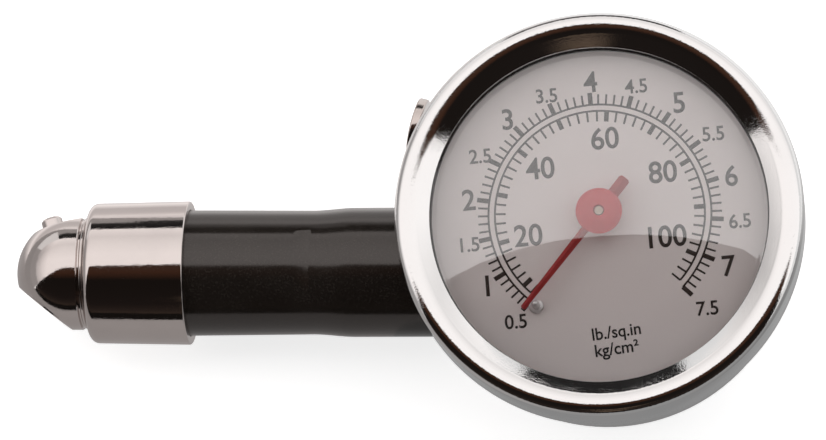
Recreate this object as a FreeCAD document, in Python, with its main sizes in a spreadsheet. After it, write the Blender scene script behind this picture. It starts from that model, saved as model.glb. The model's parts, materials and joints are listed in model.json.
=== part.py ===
import FreeCAD, Part
import math
import os

import Sketcher
from FreeCAD import Placement, Rotation, Vector

# A pocket tyre gauge lying on its back. +Z is the normal of the dial, the chuck points along -X, and the
# origin is the centre of the flat back face of the case. Lengths are in millimetres, angles in degrees.

doc = FreeCAD.newDocument("tyre_gauge")
sheet = doc.addObject("Spreadsheet::Sheet", "Sizes")

DRIVING = {
    "case_radius": 25.4, "case_wall": 0.8, "case_corner": 3.0, "rim_lip": 1.2, "dial_gap": 2.1,
    "bezel_wall": 0.8, "bezel_skirt": 4.5, "bezel_cover": 3.8, "bezel_edge": 0.4, "bezel_cone": 38.3,
    "bezel_round": 1.9, "lens_thickness": 1.1, "lens_rise": 3.5, "gasket_height": 1.2,
    "gasket_width": 4.1, "dial_thickness": 0.5, "dial_hole": 1.3, "arbor_offset": 0.4, "handle_offset": 4.9,
    "stem_radius": 4.0, "stem_bore": 1.2, "spigot_radius": 3.0, "spigot_length": 4.4,
    "spigot_depth": 3.1, "shank_length": 5.3, "grip_length": 44.2, "grip_radius": 8.66, "grip_waist": 0.13,
    "grip_flare": 0.23, "flare_length": 10.1, "cone_length": 3.6, "sleeve_wall": 1.25, "web_length": 4.6,
    "bush_length": 5.0, "collar_lap": 12.4, "collar_wall": 0.95, "collar_taper": 0.23, "collar_round": 1.2,
    "collar_end_wall": 1.3, "collar_soft": 0.25, "boss_radius": 4.4, "ball_radius": 7.8, "ball_neck": 0.8,
    "flange_step": 0.1, "flange_length": 1.1, "groove_depth": 0.35, "groove_width": 0.4, "mouth_angle": 232.1,
    "mouth_lip": 0.646, "mouth_bore": 4.1, "mouth_floor": 0.2, "seal_height": 1.4, "seal_hole": 1.5,
    "seal_groove": 0.2, "passage_radius": 1.3, "passage_depth": 1.0, "depressor_radius": 0.55,
    "depressor_sink": 0.15, "depressor_foot": 1.26, "air_slot": 0.4, "nib_angle": 106.7, "nib_flat": 1.2, "nib_radius": 1.45,
    "nib_length": 1.75, "nib_shift": 1.0, "nib_root": 0.95, "nib_root_radius": 0.87, "nib_soft": 0.3,
    "washer_thickness": 0.4, "block_low": 5.1, "block_height": 10.0, "block_web": 5.3, "block_top": 17.0,
    "block_bottom": 14.5, "block_chamfer": 2.5, "block_gap": 0.4, "foot_radius": 2.4, "foot_below": 3.6,
    "foot_above": 12.4, "foot_side": 0.7, "duct_radius": 0.9, "duct_depth": 1.6, "screw_radius": 1.2,
    "screw_head": 1.95, "screw_depth": 2.0, "tube_gap": 3.6, "tube_width": 2.4, "tube_height": 7.0,
    "tube_wall": 0.35, "tube_root": 209.0, "tube_end": 472.0, "tube_clearance": 0.25, "slot_angle": 40.0,
    "cap_margin": 0.5, "cap_angle": 6.0, "tip_pin_angle": 2.19, "tip_pin_inset": 0.72, "plate_thickness": 0.8,
    "plate_gap": 4.5, "plate_left": 12.5, "plate_right": 11.5, "plate_top": 14.8, "plate_low": 8.0,
    "front_low": 4.0, "plate_corner": 4.5, "plate_tab": 15.6, "tab_low": 9.4, "tab_screw": 2.0,
    "tab_screw_low": 8.0, "tab_screw_high": 0.4, "tab_screw_radius": 0.6, "tab_screw_depth": 2.5,
    "small_head": 1.1, "small_head_height": 0.6, "pillar_radius": 1.1, "pillar_bore": 0.5, "pillar_inset": 2.0,
    "pillar_low": 1.0, "pivot_radius": 0.4, "pivot_clearance": 0.05, "arbor_radius": 0.55, "axle_radius": 0.8,
    "gear_module": 0.25, "pinion_teeth": 10, "sector_teeth": 90, "pointer_sweep": 273.6, "backlash": 0.07,
    "sector_bearing": 97.35, "sector_lift": 2.5, "sector_thickness": 0.8, "sector_rim": 2.4,
    "sector_hub": 2.0, "tail_length": 3.8, "tail_angle": 59.08, "tail_half_width": 1.0, "tail_eye": 1.2,
    "link_thickness": 0.6, "link_width": 1.9, "link_gap": 0.05, "pin_radius": 0.5,
    "open_pivot_clearance": 0.2, "pin_head": 0.95, "pin_head_height": 0.2, "spring_lift": 0.9,
    "spring_width": 0.5, "spring_strip": 0.12, "spring_pitch": 0.9, "spring_inner": 1.55, "spring_turns": 4,
    "collet_radius": 1.35, "collet_lap": 0.2, "stud_radius": 0.5, "stud_height": 2.0, "pointer_gap": 1.7,
    "pointer_thickness": 0.3, "needle_length": 16.3, "needle_root": 0.55, "needle_tip": 0.38,
    "blade_tail": 5.7, "blade_tail_width": 0.78, "hub_waist": 1.86, "hub_radius": 3.1, "hub_edge": 0.4,
    "hub_height": 0.9, "hub_hole": 0.7, "bush_wall": 0.45, "pointer_rest": 232.3, "stop_radius": 0.5,
    "stop_base": 1.0, "stop_inset": 1.3, "stop_height": 2.5, "button_out": 0.8, "button_up": 15.5,
    "button_angle": 165.8, "button_radius": 4.0, "button_thickness": 1.3, "button_dome": 0.35,
    "button_soft": 0.25, "button_stem": 1.0, "button_travel": 1.6, "button_spare": 0.95,
    "button_clearance": 0.08, "button_seal": 1.0, "button_head": 0.9, "bush_outer": 3.2, "bush_radius": 2.6,
    "bush_depth": 6.3, "bush_collar": 1.1, "chamber_radius": 2.0, "coil_radius": 1.35, "coil_turns": 6,
    "wire_radius": 0.17, "well_depth": 3.0, "well_radius": 2.0, "valve_seat": 0.8, "valve_hole": 0.8,
    "valve_radius": 1.8, "valve_disc": 0.8, "valve_guide": 0.7, "valve_guide_length": 1.4,
    "valve_length": 5.2, "valve_coil_radius": 1.1, "valve_coil_turns": 5, "fit_gap": 0.1,
}


class Size:
    """A sheet value, or a sum or share of some, held as a number and as an expression."""

    def __init__(self, value, text):
        self.value = float(value)
        self.text = text

    def __add__(self, other):
        other = as_size(other)
        return Size(self.value + other.value, "(%s + %s)" % (self.text, other.text))

    def __sub__(self, other):
        other = as_size(other)
        return Size(self.value - other.value, "(%s - %s)" % (self.text, other.text))

    def __mul__(self, factor):
        factor = as_size(factor)
        return Size(self.value * factor.value, "(%s * %s)" % (self.text, factor.text))

    def __radd__(self, other):
        return as_size(other) + self

    def __rsub__(self, other):
        return as_size(other) - self

    def __neg__(self):
        return self * -1

    def __truediv__(self, other):
        other = as_size(other)
        return Size(self.value / other.value, "(%s / %s)" % (self.text, other.text))

    def __float__(self):
        return self.value


def as_size(number):
    """Give a plain number the same form as a sheet value."""
    return number if isinstance(number, Size) else Size(number, "%.6f" % number)


S = {}
for row, (alias, number) in enumerate(DRIVING.items(), start=1):
    sheet.set("A%d" % row, alias)
    sheet.set("B%d" % row, str(number))
    sheet.setAlias("B%d" % row, alias)
    S[alias] = Size(number, "Sizes." + alias)
doc.recompute()

nodes = {}


def keep(thing, name):
    """Name an object as a finished sub-part."""
    thing.Label = name
    nodes[name] = thing
    return thing


def turn_vector(angle, length=1.0):
    """A flat vector at an angle in degrees, as numbers."""
    return Vector(math.cos(math.radians(angle)), math.sin(math.radians(angle)), 0) * length


def along(angle, length):
    """The x and y of a length laid off at an angle, as sheet expressions."""
    angle, length = as_size(angle), as_size(length)
    flat = turn_vector(angle.value, length.value)
    x = Size(flat.x, "(%s * cos(%s * 1deg))" % (length.text, angle.text))
    y = Size(flat.y, "(%s * sin(%s * 1deg))" % (length.text, angle.text))
    return x, y


def span(x, y):
    """The length of a line that runs x across and y up."""
    x, y = as_size(x), as_size(y)
    return Size(math.hypot(x.value, y.value), "sqrt(%s ^ 2 + %s ^ 2)" % (x.text, y.text))


def other_side(long, side):
    """The second short side of a right-angled triangle."""
    return Size(math.sqrt(long.value ** 2 - side.value ** 2), "sqrt(%s ^ 2 - %s ^ 2)" % (long.text, side.text))


def bearing(x, y):
    """The angle in degrees of a line that runs x across and y up."""
    text = "(atan2(%s; %s) / 1deg)" % (y.text, x.text)
    return Size(math.degrees(math.atan2(y.value, x.value)), text)


def place(thing, x=0, y=0, z=0, yaw=0, pitch=0, roll=0):
    """Bind an object's placement to the sheet."""
    parts = tuple(as_size(value).text for value in (x, y, z, yaw, pitch, roll))
    thing.setExpression("Placement", "placement(vector(%s; %s; %s); rotation(%s; %s; %s))" % parts)
    return thing


class Via:
    """A point that the arc between two corners of an outline passes through."""

    def __init__(self, x, y):
        self.x, self.y = as_size(x), as_size(y)


class Centred:
    """Marks an arc between two corners whose centre lies on the sketch's upright axis."""


def pin_point(sketch, shape, end, x, y):
    """Fix one point of a sketch at two bound distances from its origin."""
    for kind, axis, size in (("DistanceX", -2, as_size(x)), ("DistanceY", -1, as_size(y))):
        if abs(size.value) < 1e-9:
            sketch.addConstraint(Sketcher.Constraint("PointOnObject", shape, end, axis))
            continue
        ends = (-1, 1, shape, end) if size.value > 0 else (shape, end, -1, 1)
        text = size.text if size.value > 0 else "-1 * " + size.text
        index = sketch.addConstraint(Sketcher.Constraint(kind, *ends, abs(size.value)))
        sketch.setExpression("Constraints[%d]" % index, text)


def outline(sketch, items):
    """Draw a closed outline: corners as (x, y), and Via or Centred between two corners for an arc."""
    corners, bends = [], {}
    for item in items:
        if isinstance(item, tuple):
            corners.append((as_size(item[0]), as_size(item[1])))
        else:
            bends[len(corners) - 1] = item
    points = [Vector(x.value, y.value, 0) for x, y in corners]
    shapes = []
    for number, start in enumerate(points):
        stop = points[(number + 1) % len(points)]
        bend = bends.get(number)
        if bend is None:
            shapes.append(sketch.addGeometry(Part.LineSegment(start, stop), False))
            continue
        if isinstance(bend, Via):
            middle = Vector(bend.x.value, bend.y.value, 0)
        else:
            centre = (start.Length ** 2 - stop.Length ** 2) / (2 * (start.y - stop.y))
            radius = math.hypot(start.x, start.y - centre)
            half = (start + stop) * 0.5 - Vector(0, centre, 0)
            middle = Vector(0, centre, 0) + half * (radius / half.Length)
        shapes.append(sketch.addGeometry(Part.Arc(start, middle, stop), False))
    for number, shape in enumerate(shapes):
        first = 1 if sketch.getPoint(shape, 1).distanceToPoint(points[number]) < 1e-6 else 2
        following = shapes[(number + 1) % len(shapes)]
        joint = points[(number + 1) % len(points)]
        second = 1 if sketch.getPoint(following, 1).distanceToPoint(joint) < 1e-6 else 2
        pin_point(sketch, shape, first, *corners[number])
        sketch.addConstraint(Sketcher.Constraint("Coincident", shape, 3 - first, following, second))
        bend = bends.get(number)
        if isinstance(bend, Via):
            mark = sketch.addGeometry(Part.Point(Vector(bend.x.value, bend.y.value, 0)), True)
            pin_point(sketch, mark, 1, bend.x, bend.y)
            sketch.addConstraint(Sketcher.Constraint("PointOnObject", mark, 1, shape))
        elif bend is not None:
            sketch.addConstraint(Sketcher.Constraint("PointOnObject", shape, 3, -2))


def ring(sketch, radius, x=0, y=0):
    """Draw a circle with a bound radius and centre."""
    centre = Vector(as_size(x).value, as_size(y).value, 0)
    shape = sketch.addGeometry(Part.Circle(centre, Vector(0, 0, 1), as_size(radius).value), False)
    pin_point(sketch, shape, 3, x, y)
    index = sketch.addConstraint(Sketcher.Constraint("Radius", shape, as_size(radius).value))
    sketch.setExpression("Constraints[%d]" % index, as_size(radius).text)


def new_body(name):
    """Start a body with the given internal name."""
    return doc.addObject("PartDesign::Body", name)


def new_sketch(body, role, level=0):
    """Start a sketch on one of a body's own planes, raised to a level."""
    sketch = body.newObject("Sketcher::SketchObject", body.Name + "_sketch")
    plane = [part for part in body.Origin.OriginFeatures if part.Role == role][0]
    sketch.AttachmentSupport = [(plane, "")]
    sketch.MapMode = "FlatFace"
    sketch.setExpression("AttachmentOffset.Base.z", as_size(level).text)
    return sketch


def turned(name, items, angle=360):
    """A body turned about its own Z axis from an outline of (radius, height) corners."""
    body = new_body(name)
    sketch = new_sketch(body, "XZ_Plane")
    outline(sketch, items)
    revolution = body.newObject("PartDesign::Revolution", name + "_turn")
    revolution.Profile = sketch
    revolution.ReferenceAxis = (sketch, ["V_Axis"])
    revolution.setExpression("Angle", as_size(angle).text)
    return body


def plate(name, items, low, thickness, holes=()):
    """A body cut from sheet: an outline with round holes, raised from a level."""
    body = new_body(name)
    sketch = new_sketch(body, "XY_Plane", low)
    outline(sketch, items)
    for x, y, radius in holes:
        ring(sketch, radius, x, y)
    pad = body.newObject("PartDesign::Pad", name + "_pad")
    pad.Profile = sketch
    pad.setExpression("Length", as_size(thickness).text)
    return body


def disc(name, radius, low, thickness, x=0, y=0, holes=()):
    """A round body, raised from a level, with round holes."""
    body = new_body(name)
    sketch = new_sketch(body, "XY_Plane", low)
    ring(sketch, radius, x, y)
    for hole_x, hole_y, hole_radius in holes:
        ring(sketch, hole_radius, hole_x, hole_y)
    pad = body.newObject("PartDesign::Pad", name + "_pad")
    pad.Profile = sketch
    pad.setExpression("Length", as_size(thickness).text)
    return body


def rod(name, radius, length, **spot):
    """A plain cylinder with bound radius, length and placement."""
    thing = doc.addObject("Part::Cylinder", name)
    thing.setExpression("Radius", as_size(radius).text)
    thing.setExpression("Height", as_size(length).text)
    return place(thing, **spot)


def joined(name, things):
    """Fuse several objects into one."""
    fusion = doc.addObject("Part::MultiFuse", name)
    fusion.Shapes = things
    fusion.Refine = True
    return fusion


def cut(name, base, tool):
    """Cut one object from another."""
    result = doc.addObject("Part::Cut", name)
    result.Base, result.Tool = base, tool
    result.Refine = True
    return result


def group(name, things):
    """Keep several separate solids as one sub-part."""
    compound = doc.addObject("Part::Compound", name)
    compound.Links = things
    return compound


def shaped(name, shape, **spot):
    """A sub-part whose shape is worked out in code."""
    thing = doc.addObject("Part::Feature", name)
    thing.Shape = shape
    return place(thing, **spot)


def tube_outline(inner, outer, low, high):
    """The section of a plain tube."""
    return [(inner, low), (outer, low), (outer, high), (inner, high)]


def rounded(x, y, radius, out_x, out_y):
    """Three outline items for a corner rounded by a quarter arc; out_x and out_y point outwards."""
    near = radius * (1 - math.sqrt(0.5))
    start = (x - radius * out_x, y)
    stop = (x, y - radius * out_y)
    middle = Via(x - near * out_x, y - near * out_y)
    return start, middle, stop


fit = S["fit_gap"]
inner_case = S["case_radius"] - S["case_wall"]
rim_radius = S["case_radius"] + S["rim_lip"]
block_high = S["block_low"] + S["block_height"]
back_plate_top = block_high + S["plate_thickness"]
front_plate_level = back_plate_top + S["plate_gap"]
front_plate_top = front_plate_level + S["plate_thickness"]
rim_height = front_plate_top + S["small_head_height"] + S["dial_gap"]
under_rim = rim_height - S["case_wall"]
bezel_radius = rim_radius + fit + S["bezel_wall"]
bezel_bottom = rim_height - S["bezel_skirt"]
bezel_opening = rim_radius - S["bezel_cover"]
dial_level = rim_height + S["dial_thickness"]
pointer_level = dial_level + S["pointer_gap"]
lens_seat = dial_level + S["gasket_height"]
lens_level = lens_seat + S["lens_thickness"]
bezel_lip = lens_level + S["bezel_edge"]
crest_radius = bezel_radius - S["bezel_round"]
round_run, round_height = along(-S["bezel_cone"] + 90, S["bezel_round"])
cone_run = crest_radius - round_run - bezel_opening
cone_drop = cone_run * round_run / round_height
cone_top = bezel_lip + cone_drop
bezel_crest = cone_top + S["bezel_round"] - round_height

handle_y = -S["handle_offset"]
handle_z = S["block_low"] + S["block_height"] * 0.5
spigot_start = S["case_radius"] - S["spigot_depth"]
spigot_end = spigot_start - S["spigot_length"]
sleeve_front = S["case_radius"] + S["grip_length"]
stem_front = sleeve_front - fit
shank_front = stem_front + S["washer_thickness"]
seat_front = shank_front - S["shank_length"]
seat_back = seat_front - S["valve_seat"]
counterbore_end = stem_front - S["shank_length"] - S["valve_length"] - S["valve_seat"]
collar_back = sleeve_front - S["collar_lap"]
collar_floor = sleeve_front + fit * 2
collar_front = collar_floor + S["collar_end_wall"]
flange_back = collar_front + fit * 2
flange_front = flange_back + S["flange_length"]
ball_centre = flange_front + S["groove_width"] + S["ball_neck"]
mouth_plane = other_side(S["ball_radius"], S["mouth_bore"] + S["mouth_lip"])
nib_plane = S["ball_radius"] - S["nib_flat"]

block_inside = inner_case - S["block_gap"]
duct_place = spigot_end - S["duct_depth"]
duct_start = handle_y - S["foot_below"] - S["foot_radius"]

arbor_y = S["arbor_offset"]
centre_distance = (S["pinion_teeth"] + S["sector_teeth"]) * S["gear_module"] * 0.5
sector_x, sector_rise = along(S["sector_bearing"], centre_distance)
sector_y = arbor_y + sector_rise
tail_x, tail_y = along(S["tail_angle"], S["tail_length"])
pin_x, pin_y = sector_x + tail_x, sector_y + tail_y
tube_radius = inner_case - S["tube_gap"]
tip_x, tip_y = along(S["tube_end"] + S["tip_pin_angle"], tube_radius - S["tip_pin_inset"])
sector_level = back_plate_top + S["sector_lift"]
spring_level = back_plate_top + S["spring_lift"]
link_low = sector_level + S["sector_thickness"] + S["link_gap"]
link_high = link_low + S["link_thickness"] + S["link_gap"]

button_x = -(S["case_radius"] + S["button_out"])
button_half = S["button_thickness"] * 0.5
bush_start = button_half + S["button_travel"] + S["button_spare"]
bush_end = bush_start + S["bush_depth"]
seal_end = bush_end + S["button_seal"] + fit * 0.2
chamber_end = seal_end + S["button_head"] + S["button_travel"] + fit * 2

HANDLE = {"y": handle_y, "z": handle_z, "pitch": -90}
BUTTON = {"x": button_x, "y": S["button_up"], "z": handle_z, "yaw": S["button_angle"] - 180, "pitch": 90}


def make_case():
    """Case cup, bezel ring, lens, gasket and dial."""
    corner = S["case_corner"]
    inner_corner = corner - S["case_wall"]
    outside = rounded(S["case_radius"], 0, corner, 1, -1)
    start, middle, stop = rounded(inner_case, S["case_wall"], inner_corner, 1, -1)
    cup = turned("case_blank", [
        (0, 0), *outside, (S["case_radius"], under_rim), (rim_radius, under_rim),
        (rim_radius, rim_height), (inner_case, rim_height), stop, middle, start,
        (0, S["case_wall"]),
    ])
    stem_hole = rod("stem_hole", S["stem_radius"] + fit, S["case_radius"], x=-S["case_radius"] * 1.5,
                    y=handle_y, z=handle_z, pitch=90)
    bush_hole = rod("bush_hole", S["bush_radius"] + fit, bush_end, **BUTTON)
    sinks = [turned("sink_%d" % number, screw_profile(fit)) for number in range(2)]
    for sink, (x, y) in zip(sinks, foot_places()):
        place(sink, x=x, y=y)
    keep(cut("case", cup, joined("case_holes", [stem_hole, bush_hole, *sinks])), "case_cup")

    shoulder = S["bezel_round"]
    half_run, half_height = along(-S["bezel_cone"] * 0.5 + 90, shoulder)
    catch = S["case_radius"] + fit * 2
    keep(turned("bezel", [
        (bezel_radius, bezel_bottom), *rounded(bezel_radius, bezel_crest, shoulder, 1, 1)[::-1],
        Via(crest_radius - half_run, bezel_crest - shoulder + half_height),
        (crest_radius - round_run, cone_top), (bezel_opening, bezel_lip), (bezel_opening, lens_level),
        (rim_radius + fit, lens_level), (rim_radius + fit, under_rim), (catch, under_rim),
        (catch, bezel_bottom),
    ]), "bezel_ring")

    dome_edge = bezel_opening - fit * 3
    hollow_edge = dome_edge - S["lens_thickness"]
    lens_top = lens_level + S["lens_rise"]
    keep(turned("lens_glass", [
        (0, lens_top), Centred(), (dome_edge, lens_level), (rim_radius, lens_level), (rim_radius, lens_seat),
        (hollow_edge, lens_seat), Centred(), (0, lens_top - S["lens_thickness"]),
    ]), "lens")
    gasket_inner = rim_radius - S["gasket_width"]
    keep(turned("gasket", tube_outline(gasket_inner, rim_radius, dial_level, lens_seat)), "lens_gasket")
    stop_x, stop_y = stop_place()
    holes = [(0, arbor_y, S["dial_hole"]), (stop_x, stop_y, S["stop_radius"])]
    keep(disc("dial", rim_radius - fit, rim_height, S["dial_thickness"], holes=holes), "dial_plate")
    post, base = S["stop_radius"], S["stop_base"]
    stop_top = dial_level + S["stop_height"]
    stop_pin = turned("stop_pin", [
        (0, rim_height), (post, rim_height), (post, dial_level), (base, dial_level),
        *rounded(base, dial_level + post, post * 0.5, 1, 1)[::-1],
        (post, dial_level + post), (post, stop_top - post), Centred(), (0, stop_top),
    ])
    keep(place(stop_pin, x=stop_x, y=stop_y), "zero_stop_pin")


def stop_place():
    """The stop pin stands beside the resting needle, on the side away from the scale."""
    beside = S["stop_radius"] + S["needle_tip"] + fit
    far_x, far_y = along(S["pointer_rest"], S["needle_length"] - S["stop_inset"])
    side_x, side_y = along(S["pointer_rest"] + 90, beside)
    return far_x + side_x, far_y + side_y + arbor_y


def foot_places():
    """Centres of the two feet that the back screws hold."""
    x = -duct_place - S["foot_side"]
    return [(x, handle_y - S["foot_below"]), (x, handle_y + S["foot_above"])]


def screw_profile(gap=0):
    """Half section of a countersunk screw whose head lies in the case back."""
    neck = S["screw_head"] - S["screw_radius"]
    tip = S["block_low"] + S["screw_depth"]
    return [(0, 0), (S["screw_head"] + gap, 0), (S["screw_radius"] + gap, neck), (S["screw_radius"] + gap, tip),
            (0, tip)]


def make_block():
    """Socket block: takes the stem, the tube's root and the release bush, and stands on two feet."""
    right, top, bottom = S["block_web"] - duct_place, S["block_top"], -S["block_bottom"]
    left = -S["case_radius"]
    chamfer = S["block_chamfer"]
    blank = plate("block_blank", [(left, bottom), (right - chamfer, bottom), (right, bottom + chamfer),
                                  (right, top - chamfer), (right - chamfer, top), (left, top)],
                  S["block_low"], S["block_height"])
    room = rod("case_room", block_inside, block_high)
    body = doc.addObject("Part::Common", "block_body")
    body.Base, body.Tool = blank, room
    feet = [rod("foot_%d" % number, S["foot_radius"], S["block_low"] + fit - S["case_wall"], x=x, y=y,
                z=S["case_wall"]) for number, (x, y) in enumerate(foot_places())]
    screw_holes = [rod("screw_hole_%d" % number, S["screw_radius"], S["block_low"] + S["screw_depth"], x=x, y=y)
                   for number, (x, y) in enumerate(foot_places())]
    spotface = rod("spotface", S["stem_radius"] + fit, S["case_radius"], x=-spigot_start - S["case_radius"],
                   y=handle_y, z=handle_z, pitch=90)
    socket = rod("socket", S["spigot_radius"], spigot_start - duct_place, x=-spigot_start, y=handle_y,
                 z=handle_z, pitch=90)
    chamber_y = S["button_up"] - S["bush_radius"]
    duct = rod("duct", S["duct_radius"], chamber_y - duct_start, x=-duct_place, y=duct_start, z=handle_z,
               roll=-90)
    bush_socket = rod("bush_socket", S["bush_radius"], bush_end, **BUTTON)
    chamber = rod("chamber", S["chamber_radius"], chamber_end, **BUTTON)
    gap = S["tube_clearance"]
    half_width = S["tube_width"] * 0.5 + gap
    half_height = S["tube_height"] * 0.5 + gap
    # The tube swings a little towards the dial's centre beside its root, so the slot is wider on that side.
    slot = turned("tube_slot", tube_outline(tube_radius - half_width - gap, tube_radius + half_width,
                                            handle_z - half_height, handle_z + half_height), S["slot_angle"])
    place(slot, yaw=S["tube_root"] - 1.5)
    drills = [*screw_holes, spotface, socket, duct, bush_socket, chamber, slot, *plate_screw_rods("thread_")]
    keep(cut("block", joined("block_solid", [body, *feet]), joined("block_drills", drills)), "socket_block")
    screws = [turned("back_screw_%d" % number, screw_profile()) for number in range(2)]
    for screw, (x, y) in zip(screws, foot_places()):
        place(screw, x=x, y=y)
    keep(group("back_screw_pair", screws), "back_screws")


def plate_screw_places():
    """The back plate is held on the block by two screws."""
    x = -S["plate_tab"] + S["tab_screw"]
    return [(x, -S["tab_screw_low"]), (x, S["tab_screw_high"])]


def plate_screw_rods(name):
    """Shanks of the back plate's screws, from the block up through the plate."""
    depth = S["tab_screw_depth"]
    return [rod(name + str(number), S["tab_screw_radius"], S["plate_thickness"] + depth, x=x, y=y,
                z=block_high - depth) for number, (x, y) in enumerate(plate_screw_places())]


def pillar_places():
    """Centres of the four pillars, clear of the sector's sweep."""
    inset, corner = S["pillar_inset"], S["plate_corner"]
    low, high = -S["pillar_low"], S["plate_top"] - inset
    left, right = -S["plate_left"] + inset, S["plate_right"] - inset
    return [(left, low), (right, low), (left + corner * 0.5, high), (right - corner * 0.8, high)]


def make_movement():
    """Plates, pillars and their screws, arbors, pinion, sector, hairspring."""
    pivot = S["pivot_radius"] + S["pivot_clearance"]
    post = S["arbor_radius"] + S["pivot_clearance"]
    bore = S["pillar_bore"]
    shanks = [(x, y, bore) for x, y in pillar_places()]
    lower_holes = [(0, arbor_y, pivot), (sector_x, sector_y, pivot), *shanks]
    lower_holes += [(x, y, S["tab_screw_radius"]) for x, y in plate_screw_places()]
    upper_holes = [(0, arbor_y, post), (sector_x, sector_y, pivot), *shanks]
    left, right, top, corner = S["plate_left"], S["plate_right"], S["plate_top"], S["plate_corner"]
    tab, tab_high = -S["plate_tab"], S["tab_screw_high"] + S["tab_screw"]
    upper = [(-left, top - corner), (-left + corner * 0.7, top), (right - corner, top),
             (right, top - corner * 1.5), (right, -S["front_low"])]
    lower = [(tab, -S["tab_low"]), (tab, tab_high), (-left, tab_high + left * 0.25), *upper,
             (right - corner, -S["plate_low"])]
    keep(plate("back_plate_sheet", lower, block_high, S["plate_thickness"], lower_holes), "back_plate")
    keep(plate("front_plate_sheet", [(-left, -S["front_low"]), *upper], front_plate_level,
               S["plate_thickness"], upper_holes), "front_plate")
    head, head_height = S["pillar_radius"], S["small_head_height"]
    head_top = front_plate_top + head_height
    pillars = []
    screws = []
    for number, (x, y) in enumerate(pillar_places()):
        pillars.append(disc("pillar_%d" % number, head, back_plate_top, S["plate_gap"], x, y, [(x, y, bore)]))
        screw = turned("pillar_screw_%d" % number, [
            (0, block_high), (bore, block_high), (bore, front_plate_top), (head, front_plate_top),
            *rounded(head, head_top, fit * 2, 1, 1)[::-1], (0, head_top),
        ])
        screws.append(place(screw, x=x, y=y))
    keep(group("pillar_set", pillars), "movement_pillars")
    keep(group("pillar_screw_set", screws), "movement_screws")
    shanks = plate_screw_rods("plate_screw_shank_")
    heads = []
    for number, (x, y) in enumerate(plate_screw_places()):
        cap = rod("plate_screw_head_%d" % number, S["small_head"], head_height, x=x, y=y, z=back_plate_top)
        heads.append(joined("plate_screw_%d" % number, [shanks[number], cap]))
    keep(group("plate_screw_pair", heads), "plate_screws")
    make_gears()
    make_hairspring()


def gear_points(teeth, addendum, dedendum, first, last):
    """Corners of the involute teeth first to last of a wheel centred on the origin."""
    module = S["gear_module"].value
    pitch_radius = module * teeth / 2
    base_radius = pitch_radius * math.cos(math.radians(20))
    half_tooth = (math.pi * module / 2 - S["backlash"].value) / (2 * pitch_radius)
    involute = lambda angle: math.tan(angle) - angle
    root, tip = pitch_radius - dedendum, pitch_radius + addendum
    start = max(root, base_radius)
    radii = [root] + [start + (tip - start) * step / 4 for step in range(1 if start == root else 0, 5)]
    points = []
    for tooth in range(first, last + 1):
        middle = 2 * math.pi * tooth / teeth
        flank = []
        for radius in radii:
            pressure = math.acos(min(1.0, base_radius / max(radius, base_radius)))
            flank.append((radius, half_tooth + involute(math.radians(20)) - involute(pressure)))
        for radius, half in flank:
            points.append(turn_vector(math.degrees(middle - half), radius))
        for radius, half in reversed(flank):
            points.append(turn_vector(math.degrees(middle + half), radius))
    return points


def prism(points, low, height):
    """A solid raised from the polygon through some points."""
    lift = Vector(0, 0, low)
    loop = [point + lift for point in points]
    return Part.Face(Part.makePolygon(loop + loop[:1])).extrude(Vector(0, 0, height))


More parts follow.
